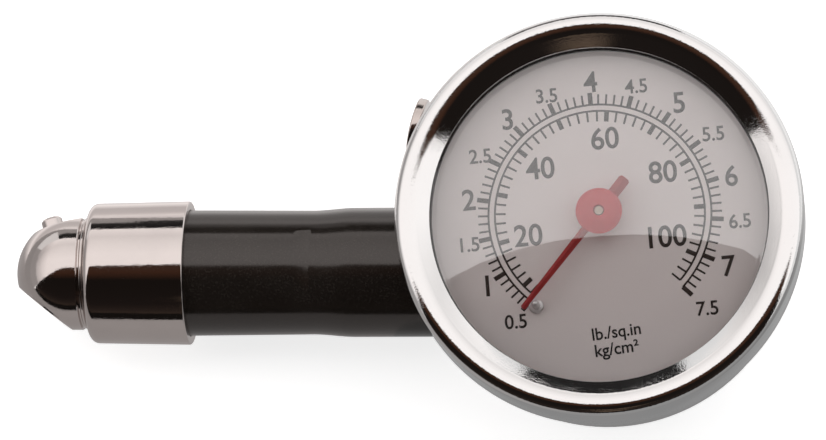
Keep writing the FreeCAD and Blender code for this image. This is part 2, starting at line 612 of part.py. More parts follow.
def make_gears():
    """Sector with its arbor and link pin, pinion arbor, and the link to the tube's tip."""
    level, thick = sector_level, S["sector_thickness"]
    module = S["gear_module"].value
    low = block_high - fit
    pivot, axle = S["pivot_radius"], S["axle_radius"]
    shoulder = back_plate_top + fit
    neck = front_plate_level - fit
    arbor_top = front_plate_top + fit
    arbor = turned("sector_axle", [
        (0, low), (pivot, low), (pivot, shoulder), (axle, shoulder), (axle, neck), (pivot, neck),
        (pivot, arbor_top), (0, arbor_top),
    ])
    keep(place(arbor, x=sector_x, y=sector_y), "sector_arbor")

    # The pinion has a tooth gap on the line of centres where the sector has a tooth.
    to_pinion = S["sector_bearing"].value + 180
    teeth = int(S["sector_teeth"].value)
    pinion_teeth = int(S["pinion_teeth"].value)
    swept = math.ceil(S["pointer_sweep"].value / 360 * pinion_teeth)
    tooth_angle = 360 / teeth
    points = gear_points(teeth, 0.6 * module, 1.3 * module, -swept - 2, 1)
    rim_inner = module * teeth / 2 - S["sector_rim"].value
    hub_radius = S["sector_hub"].value
    foot = [turn_vector(0, hub_radius * 0.7), turn_vector(-150, hub_radius * 0.7)]
    wheel = prism(points + foot, level.value, thick.value)
    window = [turn_vector(-tooth_angle * step, rim_inner) for step in range(1, swept)]
    window += [turn_vector(-tooth_angle * (swept - 1.2), hub_radius * 2.1),
               turn_vector(-tooth_angle * 1.2, hub_radius * 2.1)]
    wheel = wheel.cut(prism(window, level.value - 1, thick.value + 2))
    wheel.rotate(Vector(), Vector(0, 0, 1), to_pinion)
    tail = Vector(tail_x.value, tail_y.value, 0)
    side = turn_vector(S["tail_angle"].value + 90, S["tail_half_width"].value)
    arm = prism([-side, tail - side, tail + side, side], level.value, thick.value)
    hub = Part.makeCylinder(hub_radius, thick.value, Vector(0, 0, level.value))
    eye = Part.makeCylinder(S["tail_eye"].value, thick.value, tail + Vector(0, 0, level.value))
    wheel = wheel.fuse([arm, hub, eye])
    bores = [Part.makeCylinder(axle.value, thick.value, Vector(0, 0, level.value)),
             Part.makeCylinder(S["pin_radius"].value, thick.value, tail + Vector(0, 0, level.value))]
    wheel = wheel.cut(bores[0]).cut(bores[1]).removeSplitter()
    keep(shaped("sector", wheel, x=sector_x, y=sector_y), "sector_gear")

    pin, head = S["pin_radius"], S["pin_head"]
    head_top = link_high + S["pin_head_height"]
    link_pin = turned("link_pin", [(0, level), (pin, level), (pin, link_high), (head, link_high),
                                   (head, head_top), (0, head_top)])
    keep(place(link_pin, x=pin_x, y=pin_y), "link_pivot_pin")
    across, rise = tip_x - pin_x, tip_y - pin_y
    link_angle = bearing(across, rise)
    half_link = S["link_width"] * 0.5
    link = doc.addObject("Part::Box", "link_bar")
    link.setExpression("Length", span(across, rise).text)
    link.setExpression("Width", S["link_width"].text)
    link.setExpression("Height", S["link_thickness"].text)
    shift_x, shift_y = along(link_angle - 90, half_link)
    place(link, x=pin_x + shift_x, y=pin_y + shift_y, z=link_low, yaw=link_angle)
    eyes = [rod("link_eye_%d" % number, half_link, S["link_thickness"], x=x, y=y, z=link_low)
            for number, (x, y) in enumerate([(pin_x, pin_y), (tip_x, tip_y)])]
    depth = S["link_thickness"]
    loose = rod("open_pivot", pin + S["open_pivot_clearance"], depth, x=pin_x, y=pin_y, z=link_low)
    snug = rod("tip_pivot", pin + S["pivot_clearance"], depth, x=tip_x, y=tip_y, z=link_low)
    keep(cut("link", joined("link_blank", [link, *eyes]), joined("link_holes", [loose, snug])), "tip_link")

    cap_top = handle_z + S["tube_height"] * 0.5 + S["cap_margin"]
    shelf = link_low - S["link_gap"]
    tip_pin = turned("tip_pin", [
        (0, cap_top), (head, cap_top), (head, shelf), (pin, shelf), (pin, link_high), (head, link_high),
        (head, head_top), (0, head_top),
    ])
    keep(place(tip_pin, x=tip_x, y=tip_y), "tip_pivot_pin")

    leaf_lap = fit.value * 2
    leaves = prism(gear_points(pinion_teeth, module, 0.9 * module, 0, pinion_teeth - 1),
                   level.value - leaf_lap, thick.value + leaf_lap * 2)
    leaves.rotate(Vector(), Vector(0, 0, 1), S["sector_bearing"].value + 180 / pinion_teeth)
    shaft_top = pointer_level + S["hub_height"]
    shaft_length = shaft_top.value - shoulder.value
    shaft = Part.makeCylinder(S["arbor_radius"].value, shaft_length, Vector(0, 0, shoulder.value))
    tail_pivot = Part.makeCylinder(pivot.value, shoulder.value - low.value, Vector(0, 0, low.value))
    spindle = leaves.fuse([shaft, tail_pivot]).removeSplitter()
    keep(shaped("pinion", spindle, y=arbor_y), "pinion_arbor")


def make_hairspring():
    """Spiral strip of half circles round the pinion arbor, its collet and its stud."""
    turns, pitch = int(S["spring_turns"].value), S["spring_pitch"].value
    strip, radius = S["spring_strip"].value, S["spring_inner"].value
    inner, outer = [], []
    centre, side = 0.0, 1
    for _ in range(2 * turns):
        for chain, size in ((inner, radius), (outer, radius + strip)):
            start = Vector(centre + side * size, 0, 0)
            top = Vector(centre, side * size, 0)
            stop = Vector(centre - side * size, 0, 0)
            chain.append(Part.Arc(start, top, stop).toShape())
        centre += side * pitch / 4
        radius += pitch / 4
        side = -side
    ends = [Part.makeLine(chain_a, chain_b) for chain_a, chain_b in (
        (inner[0].Vertexes[0].Point, outer[0].Vertexes[0].Point),
        (inner[-1].Vertexes[-1].Point, outer[-1].Vertexes[-1].Point))]
    edges = Part.__sortEdges__(inner + outer + ends)
    coil = Part.Face(Part.Wire(edges)).extrude(Vector(0, 0, S["spring_width"].value))
    keep(shaped("spiral", coil, y=arbor_y, z=spring_level), "hairspring")
    reach = coil.BoundBox.XMax if side > 0 else coil.BoundBox.XMin
    stud_gap = fit.value * 0.2
    outwards = 1 if reach > 0 else -1
    stud_x = as_size(reach + outwards * (S["stud_radius"].value + stud_gap))
    keep(rod("spring_stud", S["stud_radius"], S["stud_height"], x=stud_x, y=arbor_y, z=back_plate_top),
         "hairspring_stud")
    lap = S["collet_lap"]
    collet = turned("collet", tube_outline(S["arbor_radius"], S["collet_radius"], spring_level - lap,
                                           spring_level + S["spring_width"] + lap))
    keep(place(collet, y=arbor_y), "hairspring_collet")


def make_tube():
    """Hollow flattened tube bent round the case, with a cap on its free end."""
    half_width = S["tube_width"] * 0.5
    half_flat = S["tube_height"] * 0.5 - half_width
    name = "bourdon"
    body = new_body(name)
    sketch = new_sketch(body, "XZ_Plane")
    for inset in (0, S["tube_wall"]):
        reach = half_width - inset
        left, right = tube_radius - reach, tube_radius + reach
        low, high = handle_z - half_flat, handle_z + half_flat
        outline(sketch, [(left, low), Via(tube_radius, low - reach), (right, low), (right, high),
                         Via(tube_radius, high + reach), (left, high)])
    bend = body.newObject("PartDesign::Revolution", name + "_bend")
    bend.Profile = sketch
    bend.ReferenceAxis = (sketch, ["V_Axis"])
    bend.setExpression("Angle", (S["tube_end"] - S["tube_root"]).text)
    keep(place(body, yaw=S["tube_root"]), "bourdon_tube")
    across = half_width + S["cap_margin"]
    upright = S["tube_height"] * 0.5 + S["cap_margin"]
    cap = turned("cap", tube_outline(tube_radius - across, tube_radius + across, handle_z - upright,
                                     handle_z + upright), S["cap_angle"])
    keep(place(cap, yaw=S["tube_end"]), "tip_cap")


def make_pointer():
    """Needle blade with its tail, the hub disc on it and the bush that grips the arbor."""
    low, thick = pointer_level, S["pointer_thickness"]
    reach, root, tip = S["needle_length"], S["needle_root"], S["needle_tip"]
    tail, half, waist = S["blade_tail"], S["blade_tail_width"], S["hub_waist"]
    wide = waist * 0.75
    blade = plate("blade", [
        (waist, root), (waist, wide), (-waist, wide), (-waist, half), (-tail, half), (-tail + half * 0.5, 0),
        (-tail, -half), (-waist, -half), (-waist, -wide), (waist, -wide), (waist, -root), (reach, -tip),
        (reach + tip, 0), (reach, tip),
    ], low, thick, [(0, 0, S["arbor_radius"])])
    keep(place(blade, y=arbor_y, yaw=S["pointer_rest"]), "pointer")
    hole, rim, edge = S["hub_hole"], S["hub_radius"], S["hub_edge"]
    base = low + thick
    hub = turned("hub", [(hole, base), (rim, base), (rim, base + edge), (rim - edge, base + edge * 1.5),
                         (hole, base + S["hub_height"])])
    keep(place(hub, y=arbor_y), "pointer_hub")
    bush = turned("bush", tube_outline(S["arbor_radius"], S["arbor_radius"] + S["bush_wall"],
                                       dial_level + fit * 4, low))
    keep(place(bush, y=arbor_y), "pointer_bush")


def make_handle():
    """Stem tube, grip sleeve, front bush and collar, all turned about the handle's axis."""
    bore, spigot, stem_radius = S["stem_bore"], S["spigot_radius"], S["stem_radius"]
    stem = turned("stem", [
        (bore, spigot_end), (spigot, spigot_end), (spigot, spigot_start), (stem_radius, spigot_start),
        (stem_radius, stem_front), (spigot, stem_front), (spigot, counterbore_end), (bore, counterbore_end),
    ])
    keep(place(stem, **HANDLE), "stem_tube")

    front_radius = S["grip_radius"]
    waist = front_radius - S["grip_waist"]
    flare = front_radius + S["grip_flare"]
    inner = front_radius - S["sleeve_wall"]
    cone_back = S["case_radius"] + S["flare_length"]
    web_front = S["case_radius"] + S["web_length"]
    web_bore = stem_radius + fit
    into_case = spigot_start - S["spigot_length"]
    sleeve = turned("sleeve", [
        (inner, sleeve_front), (front_radius, sleeve_front), (front_radius, collar_back - fit),
        (waist, cone_back + S["cone_length"]), (flare, cone_back), (flare, into_case), (web_bore, into_case),
        (web_bore, web_front), (inner, web_front),
    ])
    place(sleeve, **HANDLE)
    envelope = rod("case_envelope", S["case_radius"] + fit * 1.5, handle_z * 4, z=-handle_z)
    keep(cut("grip", sleeve, envelope), "grip_sleeve")

    bush_back = sleeve_front - S["bush_length"]
    bush = turned("centring_bush", tube_outline(web_bore, inner - fit * 0.5, bush_back, sleeve_front))
    keep(place(bush, **HANDLE), "front_bush")

    hole = S["boss_radius"] + fit
    collar_bore = front_radius + fit * 0.6
    nose = collar_bore + S["collar_wall"]
    back = nose + S["collar_taper"]
    soft = S["collar_soft"]
    collar = turned("collar_ring", [
        (hole, collar_front), *rounded(nose, collar_front, S["collar_round"], 1, 1), (back, collar_back + soft),
        (back - soft, collar_back), (collar_bore, collar_back), (collar_bore, collar_floor),
        (hole, collar_floor),
    ])
    keep(place(collar, **HANDLE), "collar")


def make_chuck():
    """Ball-shaped head with its slanted mouth, seal, depressor pin, bleed nib and the check valve."""
    ball, spigot, bore = S["ball_radius"], S["spigot_radius"], S["stem_bore"]
    boss, flange, groove = S["boss_radius"], ball - S["flange_step"], ball - S["groove_depth"]
    groove_width = S["groove_width"]
    blank = turned("head_blank", [
        (0, ball_centre + ball), Centred(), (ball, ball_centre), (ball, flange_front + groove_width),
        (groove, flange_front + groove_width * 0.6), (flange, flange_front), (flange, flange_back),
        (boss, flange_back), (boss, shank_front), (spigot, shank_front), (spigot, seat_front),
        (bore, seat_front), (bore, ball_centre), (0, ball_centre),
    ])
    place(blank, **HANDLE)
    at_ball = {"x": -ball_centre, "y": handle_y, "z": handle_z, "pitch": 90}
    mouth_bore, mouth_floor, passage = S["mouth_bore"], S["mouth_floor"], S["passage_radius"]
    sink = -S["passage_depth"]
    seal_top, seal_radius = mouth_floor + S["seal_height"], mouth_bore + S["seal_groove"]
    mouth = turned("mouth_cutter", [
        (0, sink), (passage, sink), (passage, mouth_floor), (seal_radius, mouth_floor),
        (seal_radius, seal_top + fit), (mouth_bore, seal_top + fit), (mouth_bore, mouth_plane),
        (ball * 2, mouth_plane), (ball * 2, ball * 2), (0, ball * 2),
    ])
    place(mouth, yaw=S["mouth_angle"], **at_ball)
    root, nib_radius, soft = S["nib_root_radius"], S["nib_radius"], S["nib_soft"]
    nib_cutter = turned("nib_cutter", [
        (0, nib_plane - S["nib_root"] - fit), (root, nib_plane - S["nib_root"] - fit), (root, nib_plane),
        (ball, nib_plane), (ball, ball * 2), (0, ball * 2),
    ])
    shift_x, shift_y = along(S["nib_angle"] + 90, S["nib_shift"])
    at_nib = {"x": shift_x - ball_centre, "y": handle_y + shift_y, "z": handle_z, "pitch": 90,
              "yaw": S["nib_angle"]}
    place(nib_cutter, **at_nib)
    keep(cut("head", blank, joined("head_cuts", [mouth, nib_cutter])), "chuck_head")

    seal = turned("seal", tube_outline(S["seal_hole"], seal_radius, mouth_floor, seal_top))
    keep(place(seal, yaw=S["mouth_angle"], **at_ball), "valve_seal")
    pin, foot, slot = S["depressor_radius"], S["depressor_foot"], S["air_slot"]
    pin_top = seal_top - S["depressor_sink"]
    pin_body = turned("pin_body", [(0, sink), (foot, sink), (foot, sink + slot), (pin, sink + slot * 1.5),
                                   (pin, pin_top - slot * 0.5), (pin - slot * 0.5, pin_top), (0, pin_top)])
    slots = []
    for number in range(3):
        x, y = along(120 * number, foot)
        slots.append(rod("air_slot_%d" % number, slot, slot * 6, x=x, y=y, z=sink - slot))
    depressor = cut("depressor", pin_body, joined("air_slots", slots))
    keep(place(depressor, yaw=S["mouth_angle"], **at_ball), "depressor_pin")

    nib_top = nib_plane + S["nib_length"]
    dimple = nib_radius * 0.45
    nib = turned("nib", [
        (0, nib_plane - S["nib_root"]), (root, nib_plane - S["nib_root"]), (root, nib_plane),
        (nib_radius, nib_plane), (nib_radius, nib_top - soft), (nib_radius - soft, nib_top), (dimple, nib_top),
        Centred(), (0, nib_top - soft),
    ])
    keep(place(nib, **at_nib), "bleed_nib")
    washer = turned("washer", tube_outline(spigot, S["stem_radius"], stem_front, shank_front))
    keep(place(washer, **HANDLE), "head_washer")

    seat = turned("seat", tube_outline(S["valve_hole"], spigot - fit * 0.3, seat_back, seat_front))
    keep(place(seat, **HANDLE), "check_seat")
    valve, guide = S["valve_radius"], S["valve_guide"]
    disc_back = seat_back - S["valve_disc"]
    guide_end = disc_back - S["valve_guide_length"]
    poppet = turned("poppet", [(0, seat_back), (valve, seat_back), (valve, disc_back), (guide, disc_back),
                               (guide, guide_end), (0, guide_end)])
    keep(place(poppet, **HANDLE), "check_poppet")
    room = disc_back.value - counterbore_end.value
    coil = coil_shape(S["valve_coil_radius"].value, room, S["valve_coil_turns"].value)
    keep(shaped("valve_coil", coil, x=-disc_back, y=handle_y, z=handle_z, pitch=90), "check_spring")


def coil_shape(radius, length, turns):
    """A round wire wound into a coil that stands on the origin, with its ends inside the length."""
    wire_radius = S["wire_radius"].value
    end_gap = wire_radius * 0.5
    rise = length - 2 * (wire_radius + end_gap)
    helix = Part.makeHelix(rise / turns, rise, radius)
    circle = Part.makeCircle(wire_radius, Vector(radius, 0, 0), Vector(0, 1, 0))
    coil = Part.Wire(helix).makePipeShell([Part.Wire(circle)], True, True)
    coil.translate(Vector(0, 0, wire_radius + end_gap))
    return coil


def make_release():
    """Push button, its stem and seal, the guide bush in the case wall and the return spring."""
    half, radius, stem, soft = button_half, S["button_radius"], S["button_stem"], S["button_soft"]
    cap = turned("button_cap", [
        (0, -half - S["button_dome"]), Centred(), *rounded(radius, -half, soft, 1, -1), (radius, half - soft),
        (radius - soft, half), (stem, half), (stem, 0), (0, 0),
    ])
    keep(place(cap, **BUTTON), "release_button")
    seal_low = bush_end + fit * 0.2
    seal_radius = S["chamber_radius"] - fit * 3
    head, rod_end = seal_radius - fit, seal_end + S["button_head"]
    pin = turned("button_rod", [(0, 0), (stem, 0), (stem, seal_end), (head, seal_end), (head, rod_end),
                                (0, rod_end)])
    keep(place(pin, **BUTTON), "release_stem")
    seal = turned("button_seal", tube_outline(stem, seal_radius, seal_low, seal_end))
    keep(place(seal, **BUTTON), "release_seal")
    well, well_end = S["well_radius"], bush_start + S["well_depth"]
    collar_end = bush_start + S["bush_collar"]
    bore = stem + S["button_clearance"]
    bush = turned("button_bush", [
        (well, bush_start), (S["bush_outer"], bush_start), (S["bush_outer"], collar_end),
        (S["bush_radius"], collar_end), (S["bush_radius"], bush_end), (bore, bush_end), (bore, well_end),
        (well, well_end),
    ])
    keep(place(bush, **BUTTON), "release_bush")
    coil = coil_shape(S["coil_radius"].value, well_end.value - half.value, S["coil_turns"].value)
    lift_x, lift_y = along(S["button_angle"] + 180, half)
    keep(shaped("button_coil", coil, x=button_x + lift_x, y=S["button_up"] + lift_y, z=handle_z,
                yaw=S["button_angle"] - 180, pitch=90), "release_spring")


def check_and_write():
    """Refuse a failed feature or a bad solid, then write one file for each sub-part."""
    doc.recompute()
    failed = [thing.Name for thing in doc.Objects if {"Invalid", "Error"} & set(thing.State)]
    if failed:
        raise RuntimeError("failed features: " + ", ".join(failed))
    for name, thing in nodes.items():
        if thing.Shape.isNull() or not thing.Shape.isValid() or not thing.Shape.Solids:
            raise RuntimeError("bad shape: " + name)
    os.makedirs("parts", exist_ok=True)
    for name, thing in nodes.items():
        thing.Shape.exportStep("parts/%s.step" % name)
        print("%-20s %d solid(s) %10.3f mm3" % (name, len(thing.Shape.Solids), thing.Shape.Volume))


make_case()
make_block()
make_movement()
make_tube()
make_pointer()
make_handle()
make_chuck()
make_release()
check_and_write()
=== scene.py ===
import json
import math

import bmesh
import bpy
from mathutils import Matrix, Vector


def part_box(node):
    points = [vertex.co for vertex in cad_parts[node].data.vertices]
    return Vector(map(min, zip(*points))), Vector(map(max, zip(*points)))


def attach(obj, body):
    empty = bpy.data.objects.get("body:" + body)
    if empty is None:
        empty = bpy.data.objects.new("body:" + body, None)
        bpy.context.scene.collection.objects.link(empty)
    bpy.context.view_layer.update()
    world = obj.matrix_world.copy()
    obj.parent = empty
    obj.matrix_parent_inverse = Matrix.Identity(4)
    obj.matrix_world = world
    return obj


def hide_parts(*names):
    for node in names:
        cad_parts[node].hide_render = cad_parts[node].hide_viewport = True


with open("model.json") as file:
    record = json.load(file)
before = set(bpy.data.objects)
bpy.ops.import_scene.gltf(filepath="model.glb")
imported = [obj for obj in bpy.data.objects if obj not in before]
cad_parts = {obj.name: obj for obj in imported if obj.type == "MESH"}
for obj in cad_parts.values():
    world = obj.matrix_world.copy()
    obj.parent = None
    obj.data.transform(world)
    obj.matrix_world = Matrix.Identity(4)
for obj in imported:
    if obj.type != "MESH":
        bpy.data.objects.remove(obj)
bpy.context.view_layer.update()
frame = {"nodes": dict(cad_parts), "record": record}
nodes = frame["nodes"]

MM = 0.001

# Places taken from the frame, in millimetres


def span(node):
    """Lowest and highest corner of a node of the frame."""
    low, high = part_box(node)
    return Vector(low) / MM, Vector(high) / MM


bezel_low, bezel_high = span("bezel_ring")
lens_low, lens_high = span("lens")
gasket_low, gasket_high = span("lens_gasket")
dial_top = span("dial_plate")[1].z
blade_low, blade_high = span("pointer")
hub_low, hub_high = span("pointer_hub")
grip_low = span("grip_sleeve")[0]
collar_low, collar_high = span("collar")
head_low, head_high = span("chuck_head")
button_low, button_high = span("release_button")

arbor_y = (hub_low.y + hub_high.y) / 2
handle_y = (collar_low.y + collar_high.y) / 2
handle_z = (collar_low.z + collar_high.z) / 2

# Sizes of the dressed pieces, in millimetres

ROUND_STEPS = 256

BEZEL_OUTER_ROUND = 1.45
BEZEL_INNER_ROUND = 3.05
BEZEL_CONE = 34
BEZEL_OPENING = 22.8
BEZEL_CONE_BULGE = 0.01
BEZEL_EDGE = 0.57
BEZEL_WALL = 0.8
BEZEL_SKIRT_TOP = 23.1
BEZEL_CATCH = 25.6
BEZEL_SOFT = 0.12
LENS_THICKNESS = 1.1
LENS_RISE = 3.5
LENS_EDGE_GAP = 0.3
# Higher than real acrylic, so that the lens mirrors the light panel as strongly as in the photo.
LENS_INDEX = 1.8
GASKET_WIDTH = 4.1
GASKET_SOFT = 0.3

NEEDLE_REST = 232.3
NEEDLE_LENGTH = 16.3
NEEDLE_ROOT = 0.55
NEEDLE_TIP = 0.38
NEEDLE_RIDGE = 0.3
NEEDLE_TAIL = 5.7
NEEDLE_TAIL_WIDTH = 0.78
HUB_HOLE = 0.7
HUB_EDGE = 0.4
HUB_SOFT = 0.12
HUB_HOLE_SOFT = 0.15

GRIP_WAIST = 8.53
GRIP_FLARE = 8.89
GRIP_FRONT = 8.66
GRIP_WALL = 1.25
GRIP_STRAIGHT = 12
GRIP_BEND = 0.5
FLARE_START = 35.5
FLARE_END = 39.1
FLARE_SOFT = 1.1
CASE_REACH = 25.55

COLLAR_BORE = 8.72
COLLAR_NOSE = 9.67
COLLAR_ROUND = 1.2
COLLAR_SOFT = 0.25
COLLAR_HOLE = 4.5
COLLAR_END_WALL = 1.3

BALL_RADIUS = 7.8
HEAD_BORE = 1.2
HEAD_SPIGOT = 3.0
HEAD_SPIGOT_LENGTH = 5.3
HEAD_PLUG = 4.4
FLANGE_GAP = 0.2
FLANGE_WIDTH = 0.5
MOUTH_ANGLE = 232.1
MOUTH_RADIUS = 4.1
MOUTH_PLANE = 6.19
MOUTH_FLOOR = 0.2
MOUTH_BORE = 1.3
MOUTH_SOFT = 0.18
SEAL_TOP = 1.7
SEAL_RADIUS = 4.3
NIB_ANGLE = 106.7
NIB_PLANE = 6.6
NIB_SHIFT = 1.0
NIB_HOLE = 0.87
NIB_DEPTH = 1.05
SPOT_RADIUS = 9
CUT_REACH = 16

BUTTON_ANGLE = 165.8
BUTTON_RADIUS = 4.0
BUTTON_HALF = 0.65
BUTTON_DOME = 0.35
BUTTON_SOFT = 0.25

# Dial print: angles in degrees, counter-clockwise from +X.
PRINT_TURN = 5.0
SCALE_START = 231.8
SCALE_STEP = 39.086
PSI_PER_UNIT = 14.223
OUTER_LINE = 14.9
INNER_LINE = 14.03
OUTER_TICK = 16.3
OUTER_BOLD_TICK = 16.55
INNER_TICK = 12.6
FIRST_PSI = 8
LAST_PSI = 106
LINE_WIDTH = 0.26
BOLD_WIDTH = 0.62
WHOLE_HEIGHT = 2.85
HALF_HEIGHT = 1.95
PSI_HEIGHT = 3.0
UNIT_HEIGHT = 2.2
LABEL_NUDGE = Vector((0.2, -0.15, 0))
UNIT_TURN = 8.0
UNIT_PLACES = {"lb./sq.in": (2.32, -16.14), "kg/cm²": (2.41, -18.4)}
INK_LEVEL = 0.012
INK_THICKNESS = 0.008

# Building


def arc(centre, radius, start, end, steps=12):
    """Points of an arc in the (radius, height) plane, angles in degrees."""
    points = []
    for step in range(steps + 1):
        angle = math.radians(start + (end - start) * step / steps)
        points.append((centre[0] + radius * math.cos(angle), centre[1] + radius * math.sin(angle)))
    return points


def bulged(start, end, bulge, steps=24):
    """Points from start to end along an arc that stands out to the left of the line by the bulge."""
    a, b = Vector(start), Vector(end)
    half = (b - a).length / 2
    radius = (half * half + bulge * bulge) / (2 * bulge)
    across = (b - a).normalized()
    left = Vector((-across.y, across.x))
    centre = (a + b) / 2 - left * (radius - bulge)
    swing = math.asin(min(1.0, half / radius))
    points = []
    for step in range(steps + 1):
        angle = -swing + 2 * swing * step / steps
        points.append(tuple(centre + left * radius * math.cos(angle) + across * radius * math.sin(angle)))
    return points


def dome(radius, base, rise, steps=40):
    """Points of a shallow cap from its edge up to the axis."""
    sphere = (radius * radius + rise * rise) / (2 * rise)
    edge = math.degrees(math.acos(radius / sphere))
    return arc((0, base + rise - sphere), sphere, edge, 90, steps)


def mesh_piece(name, mesh, crease=32):
    """Puts a mesh that is in millimetres into the scene, smooth apart from its sharp edges."""
    mesh.transform(Matrix.Scale(MM, 4))
    mesh.shade_smooth()
    mesh.set_sharp_from_angle(angle=math.radians(crease))
    piece = bpy.data.objects.new(name, mesh)
    bpy.context.scene.collection.objects.link(piece)
    return piece


def turned(name, profile, steps=ROUND_STEPS):
    """A mesh made by turning a closed (radius, height) outline about the z axis."""
    shape = bmesh.new()
    rings = []
    for radius, height in profile:
        if radius < 1e-6:
            rings.append([shape.verts.new((0, 0, height))])
            continue
        ring = []
        for step in range(steps):
            angle = 2 * math.pi * step / steps
            ring.append(shape.verts.new((radius * math.cos(angle), radius * math.sin(angle), height)))
        rings.append(ring)
    for near, far in zip(rings, rings[1:] + rings[:1]):
        if len(near) == 1 and len(far) == 1:
            continue
        for step in range(steps):
            after = (step + 1) % steps
            if len(near) == 1:
                shape.faces.new((near[0], far[step], far[after]))
            elif len(far) == 1:
                shape.faces.new((near[step], near[after], far[0]))
            else:
                shape.faces.new((near[step], near[after], far[after], far[step]))
    bmesh.ops.recalc_face_normals(shape, faces=shape.faces)
    mesh = bpy.data.meshes.new(name)
    shape.to_mesh(mesh)
    shape.free()
    return mesh


def moved(mesh, *matrices):
    """The mesh after the given moves, the first one first."""
    for matrix in matrices:
        mesh.transform(matrix)
    return mesh


def cut_away(mesh, *cutters):
    """The mesh with the cutters taken out of it."""
    body = bpy.data.objects.new("body", mesh)
    bpy.context.scene.collection.objects.link(body)
    helpers = [body]
    for number, cutter in enumerate(cutters):
        tool = bpy.data.objects.new("cutter_%d" % number, cutter)
        bpy.context.scene.collection.objects.link(tool)
        helpers.append(tool)
        modifier = body.modifiers.new("cut", "BOOLEAN")
        modifier.operation, modifier.solver, modifier.object = "DIFFERENCE", "EXACT", tool
    bpy.context.view_layer.update()
    result = bpy.data.meshes.new_from_object(body.evaluated_get(bpy.context.evaluated_depsgraph_get()))
    for helper in helpers:
        bpy.data.objects.remove(helper)
    return result


ON_HANDLE = (Matrix.Rotation(math.radians(-90), 4, "Y"), Matrix.Translation((0, handle_y, handle_z)))

# Node groups shared by the finishes


def node(tree, kind, inputs=None, **settings):
    """Adds a shader node; inputs maps a socket's name or number to a value or to another node's output."""
    made = tree.nodes.new(kind)
    for key, value in settings.items():
        setattr(made, key, value)
    for key, value in (inputs or {}).items():
        if isinstance(value, bpy.types.NodeSocket):
            tree.links.new(value, made.inputs[key])
        else:
            made.inputs[key].default_value = value
    return made


def maths(tree, operation, first, second=0.0):
    return node(tree, "ShaderNodeMath", {0: first, 1: second}, operation=operation).outputs[0]


def ramp(tree, value, low, high, to_low=0.0, to_high=1.0):
    """Maps the value from low..high to to_low..to_high and holds it there."""
    inputs = {"Value": value, "From Min": low, "From Max": high, "To Min": to_low, "To Max": to_high}
    return node(tree, "ShaderNodeMapRange", inputs).outputs["Result"]


def mixed(tree, factor, first, second):
    return node(tree, "ShaderNodeMix", {0: factor, 6: first, 7: second}, data_type="RGBA").outputs[2]


def colour(red, green, blue):
    return (red, green, blue, 1.0)


def new_group(name, inputs, outputs):
    """A shader node group with named inputs and outputs; returns it with its two end nodes."""
    group = bpy.data.node_groups.new(name, "ShaderNodeTree")
    for label, value in inputs.items():
        socket = group.interface.new_socket(label, in_out="INPUT", socket_type="NodeSocketFloat")
        socket.default_value = value
    for label in outputs:
        group.interface.new_socket(label, in_out="OUTPUT", socket_type="NodeSocketFloat")
    return group, group.nodes.new("NodeGroupInput"), group.nodes.new("NodeGroupOutput")


def object_place(tree, size):
    """Object coordinates counted in steps of the given size in metres."""
    place = node(tree, "ShaderNodeTexCoord").outputs["Object"]
    steps = maths(tree, "DIVIDE", 1.0, size)
    return node(tree, "ShaderNodeVectorMath", {0: place, "Scale": steps}, operation="SCALE").outputs[0]


def noise_at(tree, place, detail=3.0, roughness=0.55):
    inputs = {"Vector": place, "Scale": 1.0, "Detail": detail, "Roughness": roughness}
    return node(tree, "ShaderNodeTexNoise", inputs).outputs["Fac"]


def make_ripple_group():
    """Fine orange-peel unevenness of a bright plated or moulded surface."""
    group, start, end = new_group("skin_ripple", {"Size": 0.0002, "Calm": 0.0}, ["Height"])
    fine = noise_at(group, object_place(group, start.outputs["Size"]), 1.0)
    broad = noise_at(group, object_place(group, maths(group, "MULTIPLY", start.outputs["Size"], 14.0)), 1.0)
    patch = ramp(group, broad, 0.35, 0.65, 0.35, 1.0)
    group.links.new(maths(group, "MULTIPLY", fine, patch), end.inputs["Height"])
    return group


def make_marks_group():
    """Soft patches left by handling: a mask from 0 to 1."""
    group, start, end = new_group("handling_marks", {"Size": 0.006, "Amount": 0.5}, ["Mask"])
    cloud = noise_at(group, object_place(group, start.outputs["Size"]), 5.0, 0.6)
    mask = maths(group, "MULTIPLY", ramp(group, cloud, 0.45, 0.72), start.outputs["Amount"])
    group.links.new(mask, end.inputs["Mask"])
    return group


def make_scratch_group():
    """Thin hairline scratches in two directions: a mask from 0 to 1."""
    group, start, end = new_group("hairline_scratches", {"Size": 0.004, "Amount": 0.5}, ["Mask"])
    place = object_place(group, start.outputs["Size"])
    lines = []
    for turn, stretch in ((0.5, (0.6, 9.0, 3.0)), (2.1, (11.0, 0.7, 3.5))):
        inputs = {"Vector": place, "Rotation": (0.3, 0.2, turn), "Scale": stretch}
        laid = node(group, "ShaderNodeMapping", inputs).outputs[0]
        away = maths(group, "ABSOLUTE", maths(group, "SUBTRACT", noise_at(group, laid, 2.0), 0.5))
        lines.append(ramp(group, away, 0.0, 0.012, 1.0, 0.0))
    both = maths(group, "MAXIMUM", lines[0], lines[1])
    group.links.new(maths(group, "MULTIPLY", both, start.outputs["Amount"]), end.inputs["Mask"])
    return group


def make_dust_group():
    """Dust that settles on faces that look up: a mask from 0 to 1."""
    group, start, end = new_group("settled_dust", {"Size": 0.0005, "Amount": 0.1}, ["Mask"])
    normal = node(group, "ShaderNodeNewGeometry").outputs["Normal"]
    up = ramp(group, node(group, "ShaderNodeSeparateXYZ", {0: normal}).outputs["Z"], 0.2, 1.0)
    specks = ramp(group, noise_at(group, object_place(group, start.outputs["Size"]), 4.0, 0.7), 0.52, 0.7)
    mask = maths(group, "MULTIPLY", maths(group, "MULTIPLY", specks, up), start.outputs["Amount"])
    group.links.new(mask, end.inputs["Mask"])
    return group


